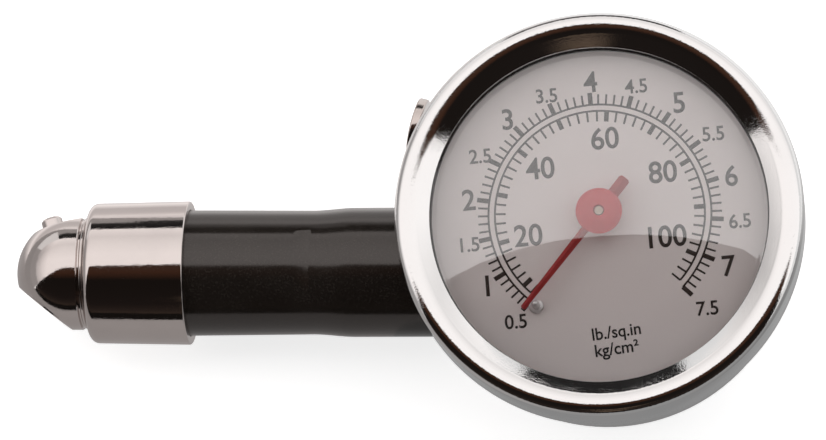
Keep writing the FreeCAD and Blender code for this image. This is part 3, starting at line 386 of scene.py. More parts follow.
def make_grain_group():
    """Drawn or brushed grain along the x axis: a height and mask from 0 to 1."""
    group, start, end = new_group("drawn_grain", {"Size": 0.0002}, ["Grain"])
    place = object_place(group, start.outputs["Size"])
    laid = node(group, "ShaderNodeMapping", {"Vector": place, "Scale": (0.04, 1.0, 1.0)}).outputs[0]
    group.links.new(noise_at(group, laid, 3.0, 0.65), end.inputs["Grain"])
    return group


def make_edge_group():
    """Brighter, rubbed places along sharp edges: a mask from 0 to 1."""
    group, start, end = new_group("rubbed_edges", {"Width": 0.0003, "Amount": 0.5}, ["Mask"])
    soft = node(group, "ShaderNodeBevel", {"Radius": start.outputs["Width"]}, samples=4).outputs[0]
    true = node(group, "ShaderNodeNewGeometry").outputs["Normal"]
    same = node(group, "ShaderNodeVectorMath", {0: soft, 1: true}, operation="DOT_PRODUCT").outputs["Value"]
    edge = ramp(group, same, 0.96, 0.75)
    group.links.new(maths(group, "MULTIPLY", edge, start.outputs["Amount"]), end.inputs["Mask"])
    return group


RIPPLE = make_ripple_group()
MARKS = make_marks_group()
SCRATCHES = make_scratch_group()
DUST = make_dust_group()
GRAIN = make_grain_group()
EDGES = make_edge_group()


def placed_group(tree, group, **inputs):
    """The group's first output, with the group's inputs set to this finish's own values."""
    return node(tree, "ShaderNodeGroup", inputs, node_tree=group).outputs[0]


# Finishes


def new_finish(name):
    """An empty material with its Principled shader wired to the output."""
    finish = bpy.data.materials.new(name)
    finish.use_nodes = True
    tree = finish.node_tree
    tree.nodes.clear()
    shader = tree.nodes.new("ShaderNodeBsdfPrincipled")
    output = tree.nodes.new("ShaderNodeOutputMaterial")
    tree.links.new(shader.outputs[0], output.inputs[0])
    return finish, tree, shader, output


def bumped(tree, shader, height, depth):
    """Drives the shader's normal from a height, with the depth in metres."""
    bump = node(tree, "ShaderNodeBump", {"Height": height, "Distance": depth, "Strength": 1.0})
    tree.links.new(bump.outputs[0], shader.inputs["Normal"])


def plated(name, base, roughness, ripple_size, ripple_depth, dulled=0.3, scratched=0.5):
    """Bright plating: orange peel, dull patches from handling, hairlines and a little dust."""
    finish, tree, shader, _ = new_finish(name)
    shader.inputs["Metallic"].default_value = 1.0
    marks = placed_group(tree, MARKS, Size=0.007, Amount=dulled)
    lines = placed_group(tree, SCRATCHES, Size=0.003, Amount=scratched)
    dust = placed_group(tree, DUST, Size=0.00035, Amount=0.05)
    worn = maths(tree, "MAXIMUM", marks, lines)
    dull = tuple(channel * 0.9 for channel in base[:3]) + (1.0,)
    toned = mixed(tree, marks, base, dull)
    tree.links.new(mixed(tree, dust, toned, colour(0.55, 0.53, 0.5)), shader.inputs["Base Color"])
    tree.links.new(ramp(tree, worn, 0, 1, roughness, roughness + 0.09), shader.inputs["Roughness"])
    ripple = placed_group(tree, RIPPLE, Size=ripple_size)
    bumped(tree, shader, maths(tree, "SUBTRACT", ripple, maths(tree, "MULTIPLY", lines, 0.2)), ripple_depth)
    return finish


def bare_metal(name, base, tarnish, roughness, grain_size=0.00015):
    """Drawn sheet or turned bar with grain, tarnish in patches and brighter edges."""
    finish, tree, shader, _ = new_finish(name)
    shader.inputs["Metallic"].default_value = 1.0
    grain = placed_group(tree, GRAIN, Size=grain_size)
    marks = placed_group(tree, MARKS, Size=0.003, Amount=0.8)
    edges = placed_group(tree, EDGES, Width=0.00015, Amount=0.6)
    toned = mixed(tree, marks, base, tarnish)
    bright = tuple(min(1.0, channel * 1.15) for channel in base[:3]) + (1.0,)
    tree.links.new(mixed(tree, edges, toned, bright), shader.inputs["Base Color"])
    rough = maths(tree, "ADD", ramp(tree, grain, 0.3, 0.7, roughness - 0.05, roughness + 0.08),
                  maths(tree, "MULTIPLY", marks, 0.12))
    tree.links.new(rough, shader.inputs["Roughness"])
    bumped(tree, shader, grain, 3e-6)
    return finish


def rubber(name, base):
    """Matt moulded rubber with bloom and dust."""
    finish, tree, shader, _ = new_finish(name)
    marks = placed_group(tree, MARKS, Size=0.002, Amount=0.7)
    dust = placed_group(tree, DUST, Size=0.0003, Amount=0.12)
    bloom = tuple(channel * 1.8 + 0.01 for channel in base[:3]) + (1.0,)
    toned = mixed(tree, marks, base, bloom)
    tree.links.new(mixed(tree, dust, toned, colour(0.35, 0.34, 0.32)), shader.inputs["Base Color"])
    tree.links.new(ramp(tree, marks, 0, 1, 0.5, 0.7), shader.inputs["Roughness"])
    bumped(tree, shader, placed_group(tree, RIPPLE, Size=0.00012), 6e-6)
    return finish


def glossy_plastic(name, base, roughness):
    """Moulded plastic with a high gloss, faint orange peel, hairlines and dust."""
    finish, tree, shader, _ = new_finish(name)
    shader.inputs["IOR"].default_value = 1.63
    shader.inputs["Specular Tint"].default_value = colour(1.0, 0.93, 0.9)
    marks = placed_group(tree, MARKS, Size=0.009, Amount=0.5)
    lines = placed_group(tree, SCRATCHES, Size=0.004, Amount=0.5)
    dust = placed_group(tree, DUST, Size=0.0003, Amount=0.06)
    worn = tuple(channel * 1.5 + 0.004 for channel in base[:3]) + (1.0,)
    toned = mixed(tree, maths(tree, "MAXIMUM", marks, lines), base, worn)
    tree.links.new(mixed(tree, dust, toned, colour(0.3, 0.28, 0.25)), shader.inputs["Base Color"])
    wear = maths(tree, "MAXIMUM", maths(tree, "MULTIPLY", marks, 0.5), lines)
    tree.links.new(ramp(tree, wear, 0, 1, roughness, roughness + 0.16), shader.inputs["Roughness"])
    bumped(tree, shader, placed_group(tree, RIPPLE, Size=0.0009), 7e-6)
    return finish


def sprayed_paint(name, base, shade, roughness, grain_depth=2e-6):
    """Thin paint with uneven coverage, a fine grain and rubbed edges."""
    finish, tree, shader, _ = new_finish(name)
    marks = placed_group(tree, MARKS, Size=0.005, Amount=0.6)
    edges = placed_group(tree, EDGES, Width=0.0002, Amount=0.25)
    toned = mixed(tree, marks, base, shade)
    tree.links.new(mixed(tree, edges, toned, shade), shader.inputs["Base Color"])
    tree.links.new(ramp(tree, marks, 0, 1, roughness, roughness + 0.12), shader.inputs["Roughness"])
    bumped(tree, shader, placed_group(tree, RIPPLE, Size=0.00025), grain_depth)
    return finish


def clear_lens(name):
    """Clear moulded acrylic, with plain shadows so the dial stays lit, and a few hairlines."""
    finish, tree, shader, output = new_finish(name)
    shader.inputs["Transmission Weight"].default_value = 1.0
    shader.inputs["Metallic"].default_value = 0.0
    shader.inputs["IOR"].default_value = LENS_INDEX
    lines = placed_group(tree, SCRATCHES, Size=0.006, Amount=0.35)
    dust = placed_group(tree, DUST, Size=0.0003, Amount=0.02)
    tree.links.new(mixed(tree, dust, colour(1, 1, 1), colour(0.9, 0.88, 0.86)), shader.inputs["Base Color"])
    tree.links.new(ramp(tree, lines, 0, 1, 0.0, 0.05), shader.inputs["Roughness"])
    bumped(tree, shader, placed_group(tree, RIPPLE, Size=0.004), 1e-6)
    through = node(tree, "ShaderNodeBsdfTransparent")
    shadow = node(tree, "ShaderNodeLightPath").outputs["Is Shadow Ray"]
    either = node(tree, "ShaderNodeMixShader", {0: shadow, 1: shader.outputs[0], 2: through.outputs[0]})
    tree.links.new(either.outputs[0], output.inputs[0])
    return finish


BRASS, BRASS_TARNISH = colour(0.78, 0.57, 0.27), colour(0.5, 0.34, 0.16)
BRONZE, BRONZE_TARNISH = colour(0.72, 0.46, 0.27), colour(0.42, 0.25, 0.15)
STEEL, STEEL_TARNISH = colour(0.56, 0.55, 0.54), colour(0.36, 0.33, 0.3)
CHROME, NICKEL, DULL_NICKEL = colour(0.73, 0.72, 0.715), colour(0.62, 0.565, 0.545), colour(0.54, 0.48, 0.45)
DIAL_SILVER, DIAL_SHADE = colour(0.82, 0.755, 0.745), colour(0.79, 0.725, 0.715)
POINTER_RED, POINTER_SHADE = colour(0.42, 0.012, 0.018), colour(0.35, 0.008, 0.012)
# The hub's red is a brighter copy of the pointer's red: painted light for the panel light that the raised
# hub catches.
HUB_RED_PAINTED_LIGHT, HUB_SHADE_PAINTED_LIGHT = colour(0.68, 0.018, 0.032), colour(0.56, 0.013, 0.022)

FINISHES = {
    "case_metal": plated("case_plating", CHROME, 0.09, 0.0003, 4e-6),
    "bezel_chrome": plated("bezel_chrome_plating", CHROME, 0.035, 0.00019, 1e-5, 0.2, 0.25),
    "lens_glass": clear_lens("lens_acrylic"),
    "gasket_rubber": rubber("gasket_rubber_moulding", colour(0.03, 0.028, 0.028)),
    "dial_paint": sprayed_paint("dial_silver_paint", DIAL_SILVER, DIAL_SHADE, 0.55),
    "pin_metal": bare_metal("stop_pin_steel", colour(0.75, 0.74, 0.75), STEEL, 0.4),
    "screw_steel": bare_metal("screw_zinc_steel", STEEL, STEEL_TARNISH, 0.3),
    "block_brass": bare_metal("block_cast_brass", BRASS, BRASS_TARNISH, 0.34, 0.0004),
    "plate_brass": bare_metal("plate_rolled_brass", BRASS, BRASS_TARNISH, 0.24),
    "spring_bronze": bare_metal("hairspring_bronze", BRONZE, BRONZE_TARNISH, 0.25),
    "tube_bronze": bare_metal("pressure_tube_bronze", BRONZE, BRONZE_TARNISH, 0.28, 0.0003),
    "arbor_steel": bare_metal("arbor_ground_steel", colour(0.56, 0.47, 0.4), STEEL_TARNISH, 0.3),
    "spring_steel": bare_metal("coil_spring_steel", STEEL, STEEL_TARNISH, 0.25),
    "pointer_paint": sprayed_paint("pointer_red_paint", POINTER_RED, POINTER_SHADE, 0.4),
    "grip_plastic": glossy_plastic("grip_dark_plastic", colour(0.014, 0.011, 0.009), 0.13),
    "collar_chrome": plated("collar_nickel_plating", NICKEL, 0.045, 0.0005, 6e-6, 0.4, 0.5),
    "button_chrome": plated("button_nickel_plating", DULL_NICKEL, 0.14, 0.0004, 8e-6),
    "seal_rubber": rubber("seal_rubber_moulding", colour(0.02, 0.02, 0.02)),
}
# Painted light: the hub's own brighter red finish, a lit copy of the pointer paint.
HUB_PAINT_PAINTED_LIGHT = sprayed_paint("hub_red_paint_painted_light", HUB_RED_PAINTED_LIGHT, HUB_SHADE_PAINTED_LIGHT, 0.32)
# A darker, browner finish for the arbor's end that shows in the hub's hole.
DARKER_ARBOR_END = bare_metal("pinion_darker_end", colour(0.5, 0.4, 0.33), colour(0.34, 0.27, 0.23), 0.42)
PRINT_INK = sprayed_paint("dial_black_ink", colour(0.012, 0.01, 0.01), colour(0.03, 0.027, 0.027), 0.6)

for part in frame["record"]["subparts"]:
    materials = nodes[part["node"]].data.materials
    materials.clear()
    materials.append(DARKER_ARBOR_END if part["node"] == "pinion_arbor" else FINISHES[part["material_slot"]])


def dress(piece, slot_name, body, *replaced, finish=None):
    """Gives a piece its finish and its body, and hides the nodes that it stands for."""
    piece.data.materials.clear()
    piece.data.materials.append(finish or FINISHES[slot_name])
    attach(piece, body)
    if replaced:
        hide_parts(*replaced)
    return piece


# Bezel, lens and gasket


def make_bezel():
    """Rolled ring: plain skirt, round crest, then a cone down to the lens."""
    outer, bottom, crest = bezel_high.x, bezel_low.z, bezel_high.z
    inner, seat = outer - BEZEL_WALL, lens_low.z + LENS_THICKNESS
    profile = arc((outer - BEZEL_SOFT, bottom + BEZEL_SOFT), BEZEL_SOFT, -90, 0, 4)
    top = outer - BEZEL_OUTER_ROUND
    profile += arc((top, crest - BEZEL_OUTER_ROUND), BEZEL_OUTER_ROUND, 0, 90, 24)
    profile += arc((top, crest - BEZEL_INNER_ROUND), BEZEL_INNER_ROUND, 90, 90 + BEZEL_CONE, 24)[1:]
    profile += bulged(profile[-1], (BEZEL_OPENING, seat + BEZEL_EDGE), -BEZEL_CONE_BULGE, 12)[1:]
    profile += [(BEZEL_OPENING, seat), (inner, seat), (inner, BEZEL_SKIRT_TOP),
                (BEZEL_CATCH, BEZEL_SKIRT_TOP), (BEZEL_CATCH, bottom)]
    return mesh_piece("bezel", turned("bezel", profile, 384))


def make_lens():
    """Domed clear lens with its flat clamping flange."""
    seat, level = lens_low.z, lens_low.z + LENS_THICKNESS
    edge = BEZEL_OPENING - LENS_EDGE_GAP
    inner_sphere = (edge ** 2 + LENS_RISE ** 2) / (2 * LENS_RISE) - LENS_THICKNESS
    hollow = math.sqrt(inner_sphere ** 2 - (inner_sphere - LENS_RISE) ** 2)
    profile = [(lens_high.x, seat), (lens_high.x, level)] + dome(edge, level, LENS_RISE, 48)
    profile += dome(hollow, seat, LENS_RISE, 48)[::-1]
    return mesh_piece("lens_dome", turned("lens_dome", profile))


def make_gasket():
    """Flat rubber ring with a rounded inner edge."""
    outer, low, high = gasket_high.x, gasket_low.z, gasket_high.z
    inner, soft = outer - GASKET_WIDTH, GASKET_SOFT
    profile = [(outer, low), (outer, high)] + arc((inner + soft, high - soft), soft, 90, 180, 5)
    profile += arc((inner + soft, low + soft), soft, 180, 270, 5)
    return mesh_piece("gasket_ring", turned("gasket_ring", profile))


dress(make_bezel(), "bezel_chrome", "case", "bezel_ring")
dress(make_lens(), "lens_glass", "case", "lens")
dress(make_gasket(), "gasket_rubber", "case", "lens_gasket")

# Dial print


def dial_point(radius, angle):
    """A place on the dial face, from the pointer's axis."""
    turn = math.radians(angle)
    return Vector((radius * math.cos(turn), arbor_y + radius * math.sin(turn), dial_top))


def scale_angle(value):
    return SCALE_START - (value - 0.5) * SCALE_STEP


def print_patch(ink, corners):
    ink.faces.new([ink.verts.new(corner) for corner in corners])


def print_ring(ink, radius, start, end):
    """A thin printed arc between two angles."""
    steps = int(abs(end - start))
    near, far = radius - LINE_WIDTH / 2, radius + LINE_WIDTH / 2
    for step in range(steps):
        a = start + (end - start) * step / steps
        b = start + (end - start) * (step + 1) / steps
        print_patch(ink, [dial_point(near, a), dial_point(far, a), dial_point(far, b), dial_point(near, b)])


def print_tick(ink, angle, near, far, width):
    """A printed tick that points at the pointer's axis."""
    turn = math.radians(angle)
    side = Vector((-math.sin(turn), math.cos(turn), 0)) * width / 2
    a, b = dial_point(near, angle), dial_point(far, angle)
    print_patch(ink, [a - side, a + side, b + side, b - side])


def print_words(ink, words, height, place, turn, width=0.95, weight=0.014):
    """Words with the given height over all, centred on the place and turned in the dial's plane."""
    letters = bpy.data.curves.new("letters", "FONT")
    letters.body = words
    letters.offset = weight
    letters.resolution_u = 6
    holder = bpy.data.objects.new("letters", letters)
    bpy.context.scene.collection.objects.link(holder)
    bpy.context.view_layer.update()
    mesh = bpy.data.meshes.new_from_object(holder.evaluated_get(bpy.context.evaluated_depsgraph_get()))
    bpy.data.objects.remove(holder)
    xs, ys = [v.co.x for v in mesh.vertices], [v.co.y for v in mesh.vertices]
    size = height / (max(ys) - min(ys))
    centre = Vector(((max(xs) + min(xs)) / 2, (max(ys) + min(ys)) / 2, 0))
    mesh.transform(Matrix.Translation(-centre))
    mesh.transform(Matrix.Diagonal((size * width, size, 1, 1)))
    mesh.transform(Matrix.Translation(place) @ Matrix.Rotation(math.radians(turn), 4, "Z"))
    ink.from_mesh(mesh)
    bpy.data.meshes.remove(mesh)


WHOLE_LABELS = {"1": 17.9, "2": 17.9, "3": 18.2, "4": 18.2, "5": 18.4, "6": 18.1, "7": 18.4}
HALF_LABELS = {"0.5": 18.3, "1.5": 18.0, "2.5": 18.2, "3.5": 17.9, "4.5": 18.1, "5.5": 18.5, "6.5": 18.5,
               "7.5": 19.0}
PSI_LABELS = {"20": (9.96, 196.7), "40": (10.18, 142.1), "60": (10.32, 86.5), "80": (10.13, 34.1),
              "100": (9.57, 341.3)}


def make_print():
    """Both scales, their numbers and the two unit names, as thin ink on the dial."""
    ink = bmesh.new()
    print_ring(ink, OUTER_LINE, scale_angle(0.5), scale_angle(7.5))
    print_ring(ink, INNER_LINE, scale_angle(FIRST_PSI / PSI_PER_UNIT), scale_angle(LAST_PSI / PSI_PER_UNIT))
    for tenth in range(5, 76):
        bold = tenth % 5 == 0
        print_tick(ink, scale_angle(tenth / 10), OUTER_LINE, OUTER_BOLD_TICK if bold else OUTER_TICK,
                   BOLD_WIDTH if bold else LINE_WIDTH)
    for psi in range(FIRST_PSI, LAST_PSI + 1, 2):
        print_tick(ink, scale_angle(psi / PSI_PER_UNIT), INNER_LINE, INNER_TICK,
                   BOLD_WIDTH if psi % 10 == 0 else LINE_WIDTH)
    for labels, height in ((WHOLE_LABELS, WHOLE_HEIGHT), (HALF_LABELS, HALF_HEIGHT)):
        for words, radius in labels.items():
            place = dial_point(radius, scale_angle(float(words))) + LABEL_NUDGE
            print_words(ink, words, height, place, PRINT_TURN)
    for words, (radius, angle) in PSI_LABELS.items():
        print_words(ink, words, PSI_HEIGHT, dial_point(radius, angle), PRINT_TURN)
    for words, (across, up) in UNIT_PLACES.items():
        print_words(ink, words, UNIT_HEIGHT, Vector((across, arbor_y + up, dial_top)), UNIT_TURN)
    bmesh.ops.translate(ink, verts=ink.verts, vec=(0, 0, INK_LEVEL))
    mesh = bpy.data.meshes.new("dial_print")
    ink.to_mesh(mesh)
    ink.free()
    piece = mesh_piece("dial_print", mesh)
    thick = piece.modifiers.new("ink_thickness", "SOLIDIFY")
    thick.thickness, thick.offset = INK_THICKNESS * MM, 1.0
    return piece


dress(make_print(), "dial_paint", "case", finish=PRINT_INK)

# Pointer


def make_needle():
    """Pressed blade with a ridge along its middle: needle to the front, short counterweight behind."""
    low, high = blade_low.z, blade_high.z
    half_hub = hub_high.x * 0.6
    stations = [
        (-NEEDLE_TAIL, NEEDLE_TAIL_WIDTH * 0.72), (-NEEDLE_TAIL + 0.25, NEEDLE_TAIL_WIDTH),
        (-half_hub, NEEDLE_TAIL_WIDTH), (-half_hub * 0.6, half_hub * 0.8), (half_hub * 0.6, half_hub * 0.8),
        (half_hub, NEEDLE_ROOT), (NEEDLE_LENGTH * 0.9, NEEDLE_TIP), (NEEDLE_LENGTH, NEEDLE_TIP),
        (NEEDLE_LENGTH + NEEDLE_TIP * 0.6, NEEDLE_TIP * 0.6),
    ]
    blade = bmesh.new()
    rows = []
    for x, half in stations:
        ridge = NEEDLE_RIDGE if abs(x) > half_hub * 0.7 else 0.0
        corners = [(-half, low), (-half, high - 0.05), (0, high + ridge), (half, high - 0.05), (half, low)]
        rows.append([blade.verts.new((x, y, z)) for y, z in corners])
    for near, far in zip(rows, rows[1:]):
        for index in range(5):
            after = (index + 1) % 5
            blade.faces.new((near[index], far[index], far[after], near[after]))
    blade.faces.new(rows[0])
    blade.faces.new(rows[-1][::-1])
    bmesh.ops.recalc_face_normals(blade, faces=blade.faces)
    mesh = bpy.data.meshes.new("needle")
    blade.to_mesh(mesh)
    blade.free()
    moved(mesh, Matrix.Rotation(math.radians(NEEDLE_REST), 4, "Z"), Matrix.Translation((0, arbor_y, 0)))
    piece = mesh_piece("needle", mesh, 12)
    rounding = piece.modifiers.new("pressed_edges", "BEVEL")
    rounding.width, rounding.segments, rounding.limit_method = 0.04 * MM, 2, "ANGLE"
    return piece


def make_hub():
    """Round painted hub with a turned step round its edge and a hole for the arbor."""
    rim, low, high = hub_high.x, hub_low.z, hub_high.z
    soft, hole_soft = HUB_SOFT, HUB_HOLE_SOFT
    edge_top = low + HUB_EDGE
    profile = [(HUB_HOLE, low), (rim - soft, low)] + arc((rim - soft, edge_top - soft), soft, 0, 90, 4)
    profile += bulged((rim - HUB_EDGE, edge_top + HUB_EDGE * 0.5), (HUB_HOLE + hole_soft, high), -0.1, 16)
    profile += arc((HUB_HOLE + hole_soft, high - hole_soft), hole_soft, 90, 180, 4)
    return mesh_piece("hub_disc", moved(turned("hub_disc", profile), Matrix.Translation((0, arbor_y, 0))))


dress(make_needle(), "pointer_paint", "needle", "pointer")
# The hub wears the lit copy of the pointer paint, with painted light in its colour.
dress(make_hub(), "pointer_paint", "needle", "pointer_hub", finish=HUB_PAINT_PAINTED_LIGHT)

# Handle


def make_grip():
    """Dark sleeve that flares towards the case and fits round the case wall."""
    front, soft = -grip_low.x, FLARE_SOFT
    taper_start = front - GRIP_STRAIGHT - GRIP_BEND
    outside = [(front, GRIP_FRONT), (front - GRIP_STRAIGHT, GRIP_FRONT)]
    for step in range(9):
        share = step / 8
        outside.append((taper_start - share * (taper_start - FLARE_END - soft),
                        GRIP_FRONT + (GRIP_WAIST - GRIP_FRONT) * share))
    for step in range(17):
        share = step / 16
        blend = share * share * (3 - 2 * share)
        outside.append((FLARE_END + soft - share * (FLARE_END - FLARE_START + 2 * soft),
                        GRIP_WAIST + (GRIP_FLARE - GRIP_WAIST) * blend))
    inside = [(front - 0.01, GRIP_FRONT - GRIP_WALL)]
    sleeve = bmesh.new()
    columns = []
    for step in range(ROUND_STEPS):
        angle = 2 * math.pi * step / ROUND_STEPS
        side, up = math.sin(angle), math.cos(angle)

        def at(distance, radius):
            return sleeve.verts.new((-distance, handle_y + radius * side, handle_z + radius * up))

        def case_wall(radius):
            across = handle_y + radius * side
            return math.sqrt(CASE_REACH ** 2 - across ** 2)

        column = [at(distance, radius) for distance, radius in outside]
        flare_end = outside[-1][0]
        for part in range(1, 7):
            column.append(at(flare_end + (case_wall(GRIP_FLARE) - flare_end) * part / 6, GRIP_FLARE))
        column.append(at(case_wall(GRIP_FRONT - GRIP_WALL), GRIP_FRONT - GRIP_WALL))
        column += [at(distance, radius) for distance, radius in inside]
        columns.append(column)
    for near, far in zip(columns, columns[1:] + columns[:1]):
        for index in range(len(near)):
            after = (index + 1) % len(near)
            sleeve.faces.new((near[index], near[after], far[after], far[index]))
    bmesh.ops.recalc_face_normals(sleeve, faces=sleeve.faces)
    mesh = bpy.data.meshes.new("grip")
    sleeve.to_mesh(mesh)
    sleeve.free()
    return mesh_piece("grip", mesh)


def make_collar():
    """Plated cap over the grip's end with a rounded nose."""
    back, front = -collar_high.x, -collar_low.x
    outer = collar_high.z - handle_z
    floor = front - COLLAR_END_WALL
    profile = [(COLLAR_BORE, back + 0.1), (COLLAR_BORE + 0.1, back)]
    profile += arc((outer - COLLAR_SOFT, back + COLLAR_SOFT), COLLAR_SOFT, -90, 0, 6)
    profile += arc((COLLAR_NOSE - COLLAR_ROUND, front - COLLAR_ROUND), COLLAR_ROUND, 0, 90, 16)
    profile += [(COLLAR_HOLE, front), (COLLAR_HOLE, floor), (COLLAR_BORE, floor)]
    return mesh_piece("collar_cap", moved(turned("collar_cap", profile), *ON_HANDLE))


def make_head():
    """Ball-shaped chuck head: flange, groove, ball, slanted mouth and the flat under the nib."""
    centre = -head_low.x - BALL_RADIUS
    back = -head_high.x
    flange_back = -collar_low.x + FLANGE_GAP
    flange_front = flange_back + FLANGE_WIDTH
    flange, groove = BALL_RADIUS - 0.1, BALL_RADIUS - 0.35
    shoulder = back + HEAD_SPIGOT_LENGTH
    profile = [(HEAD_BORE, back), (HEAD_SPIGOT, back), (HEAD_SPIGOT, shoulder), (HEAD_PLUG, shoulder),
               (HEAD_PLUG, flange_back)]
    profile += arc((flange - 0.25, flange_back + 0.25), 0.25, -90, 0, 5)
    profile += arc((flange - 0.2, flange_front - 0.2), 0.2, 0, 70, 4)
    profile += [(groove, flange_front + 0.08), (groove, flange_front + 0.24)]
    profile += [(BALL_RADIUS - 0.05, flange_front + 0.4), (BALL_RADIUS, flange_front + 0.5)]
    profile += arc((0, centre), BALL_RADIUS, 0, 90, 72)
    profile += [(0, centre), (HEAD_BORE, centre)]
    ball = moved(turned("head", profile), *ON_HANDLE)
    at_ball = Matrix.Translation((-centre, handle_y, handle_z))
    lay = Matrix.Rotation(math.radians(90), 4, "Y")
    mouth_turn = Matrix.Rotation(math.radians(MOUTH_ANGLE), 4, "Z")
    soft, reach = MOUTH_SOFT, CUT_REACH
    mouth = turned("mouth", [
        (0, -1.0), (MOUTH_BORE, -1.0), (MOUTH_BORE, MOUTH_FLOOR), (SEAL_RADIUS, MOUTH_FLOOR),
        (SEAL_RADIUS, SEAL_TOP), (MOUTH_RADIUS, SEAL_TOP), (MOUTH_RADIUS, MOUTH_PLANE - soft),
        (MOUTH_RADIUS + soft, MOUTH_PLANE), (reach, MOUTH_PLANE), (reach, reach), (0, reach),
    ], 192)
    moved(mouth, lay, mouth_turn, at_ball)
    nib_turn = Matrix.Rotation(math.radians(NIB_ANGLE), 4, "Z")
    side = nib_turn @ Vector((0, NIB_SHIFT, 0))
    nib_floor = NIB_PLANE - NIB_DEPTH
    spot = turned("spot", [
        (0, nib_floor), (NIB_HOLE, nib_floor), (NIB_HOLE, NIB_PLANE), (SPOT_RADIUS, NIB_PLANE),
        (SPOT_RADIUS, reach), (0, reach),
    ], 96)
    moved(spot, lay, nib_turn, Matrix.Translation(side), at_ball)
    return mesh_piece("head_ball", cut_away(ball, mouth, spot), 25)


def make_button():
    """Round push button with a low domed face."""
    half, radius, soft = BUTTON_HALF, BUTTON_RADIUS, BUTTON_SOFT
    profile = [(0, half), (radius - soft, half)] + arc((radius - soft, half - soft), soft, 90, 0, 5)
    profile += arc((radius - soft, -half + soft), soft, 0, -90, 5)
    profile += [(x, -z) for x, z in dome(radius - soft, half, BUTTON_DOME, 16)][1:]
    centre = (button_low + button_high) / 2
    along = Vector((math.cos(math.radians(BUTTON_ANGLE)), math.sin(math.radians(BUTTON_ANGLE)), 0))
    centre -= along * BUTTON_DOME / 2
    turn = Matrix.Rotation(math.radians(90), 4, "Y")
    yaw = Matrix.Rotation(math.radians(BUTTON_ANGLE - 180), 4, "Z")
    return mesh_piece("button_cap", moved(turned("button_cap", profile, 128), turn, yaw,
                                          Matrix.Translation(centre)))


dress(make_grip(), "grip_plastic", "case", "grip_sleeve")
dress(make_collar(), "collar_chrome", "case", "collar")
dress(make_head(), "collar_chrome", "case", "chuck_head")
dress(make_button(), "button_chrome", "button", "release_button")

# Camera, floor and light

SENSOR_WIDTH, LENS_LENGTH = 36, 226.9
LOOK_AT = Vector((-25.03, -0.636, 26.63)) * MM
CAMERA_DISTANCE = 700 * MM
TILT_X, TILT_Y, ROLL = math.radians(5.28), math.radians(10.33), math.radians(0.68)


def make_camera():
    """Long lens above the gauge, leaning a little to the right and to the front."""
    away = Vector((math.sin(TILT_X), -math.sin(TILT_Y), 0))
    away.z = math.sqrt(1 - away.x ** 2 - away.y ** 2)
    right = Vector((0, 1, 0)).cross(away).normalized()
    up = away.cross(right)
    rolled_right = right * math.cos(ROLL) + up * math.sin(ROLL)
    rolled_up = up * math.cos(ROLL) - right * math.sin(ROLL)
    data = bpy.data.cameras.new("camera")
    data.sensor_width, data.lens = SENSOR_WIDTH, LENS_LENGTH
    data.clip_start, data.clip_end = 0.01, 20
    camera = bpy.data.objects.new("camera", data)
    turn = Matrix((rolled_right, rolled_up, away)).transposed().to_4x4()
    camera.matrix_world = Matrix.Translation(LOOK_AT + away * CAMERA_DISTANCE) @ turn
    bpy.context.scene.collection.objects.link(camera)
    bpy.context.scene.camera = camera


def flat_sheet(name, corners, finish):
    """A flat sheet of the studio from its corners in millimetres."""
    mesh = bpy.data.meshes.new(name)
    mesh.from_pydata([Vector(corner) * MM for corner in corners], [], [range(len(corners))])
    mesh.materials.append(finish)
    sheet = bpy.data.objects.new(name, mesh)
    bpy.context.scene.collection.objects.link(sheet)
    return sheet


def upright(name, start, end, low, high, finish):
    """A flat sheet that stands between two places, from the low to the high level."""
    return flat_sheet(name, [(*start, low), (*end, low), (*end, high), (*start, high)], finish)


def glow(name, tint, strength):
    """A plain finish of one brightness for a card or a sheen."""
    finish, tree, _, output = new_finish(name)
    light = node(tree, "ShaderNodeEmission", {"Color": tint, "Strength": strength})
    tree.links.new(light.outputs[0], output.inputs[0])
    return finish


def glow_level(tree, axis, stops):
    """A brightness that changes along one axis; the stops are (millimetres, red, green, blue)."""
    start, end = stops[0][0], stops[-1][0]
    place = node(tree, "ShaderNodeTexCoord").outputs["Object"]
    along = node(tree, "ShaderNodeSeparateXYZ", {0: place}).outputs[axis]
    blend = node(tree, "ShaderNodeValToRGB", {0: ramp(tree, along, start * MM, end * MM)})
    elements = blend.color_ramp.elements
    elements.remove(elements[1])
    elements[0].color = colour(*stops[0][1:])
    for at, *tint in stops[1:]:
        elements.new((at - start) / (end - start)).color = colour(*tint)
    return blend.outputs[0]


def glow_over(name, **stops):
    """A finish whose glow is the product of the levels along the given axes."""
    finish, tree, _, output = new_finish(name)
    level, *others = [glow_level(tree, axis, levels) for axis, levels in stops.items()]
    for other in others:
        inputs = {0: 1.0, 6: level, 7: other}
        level = node(tree, "ShaderNodeMix", inputs, data_type="RGBA", blend_type="MULTIPLY").outputs[2]
    light = node(tree, "ShaderNodeEmission", {"Color": level, "Strength": PANEL_STRENGTH})
    tree.links.new(light.outputs[0], output.inputs[0])
    return finish


def seen_directly(tree):
    """1 for rays from the camera, from mirror-like surfaces and through glass."""
    path = node(tree, "ShaderNodeLightPath")
    glossy = maths(tree, "MAXIMUM", path.outputs["Is Camera Ray"], path.outputs["Is Glossy Ray"])
    return maths(tree, "MAXIMUM", glossy, path.outputs["Is Transmission Ray"])


def grey(at, value, warmth=0.04):
    """A stop of a glow: the place in millimetres and a slightly warm grey."""
    return at, value, value * (1 - warmth), value * (1 - warmth * 1.3)


PANEL_HEIGHT, PANEL_FAR = 400, 950
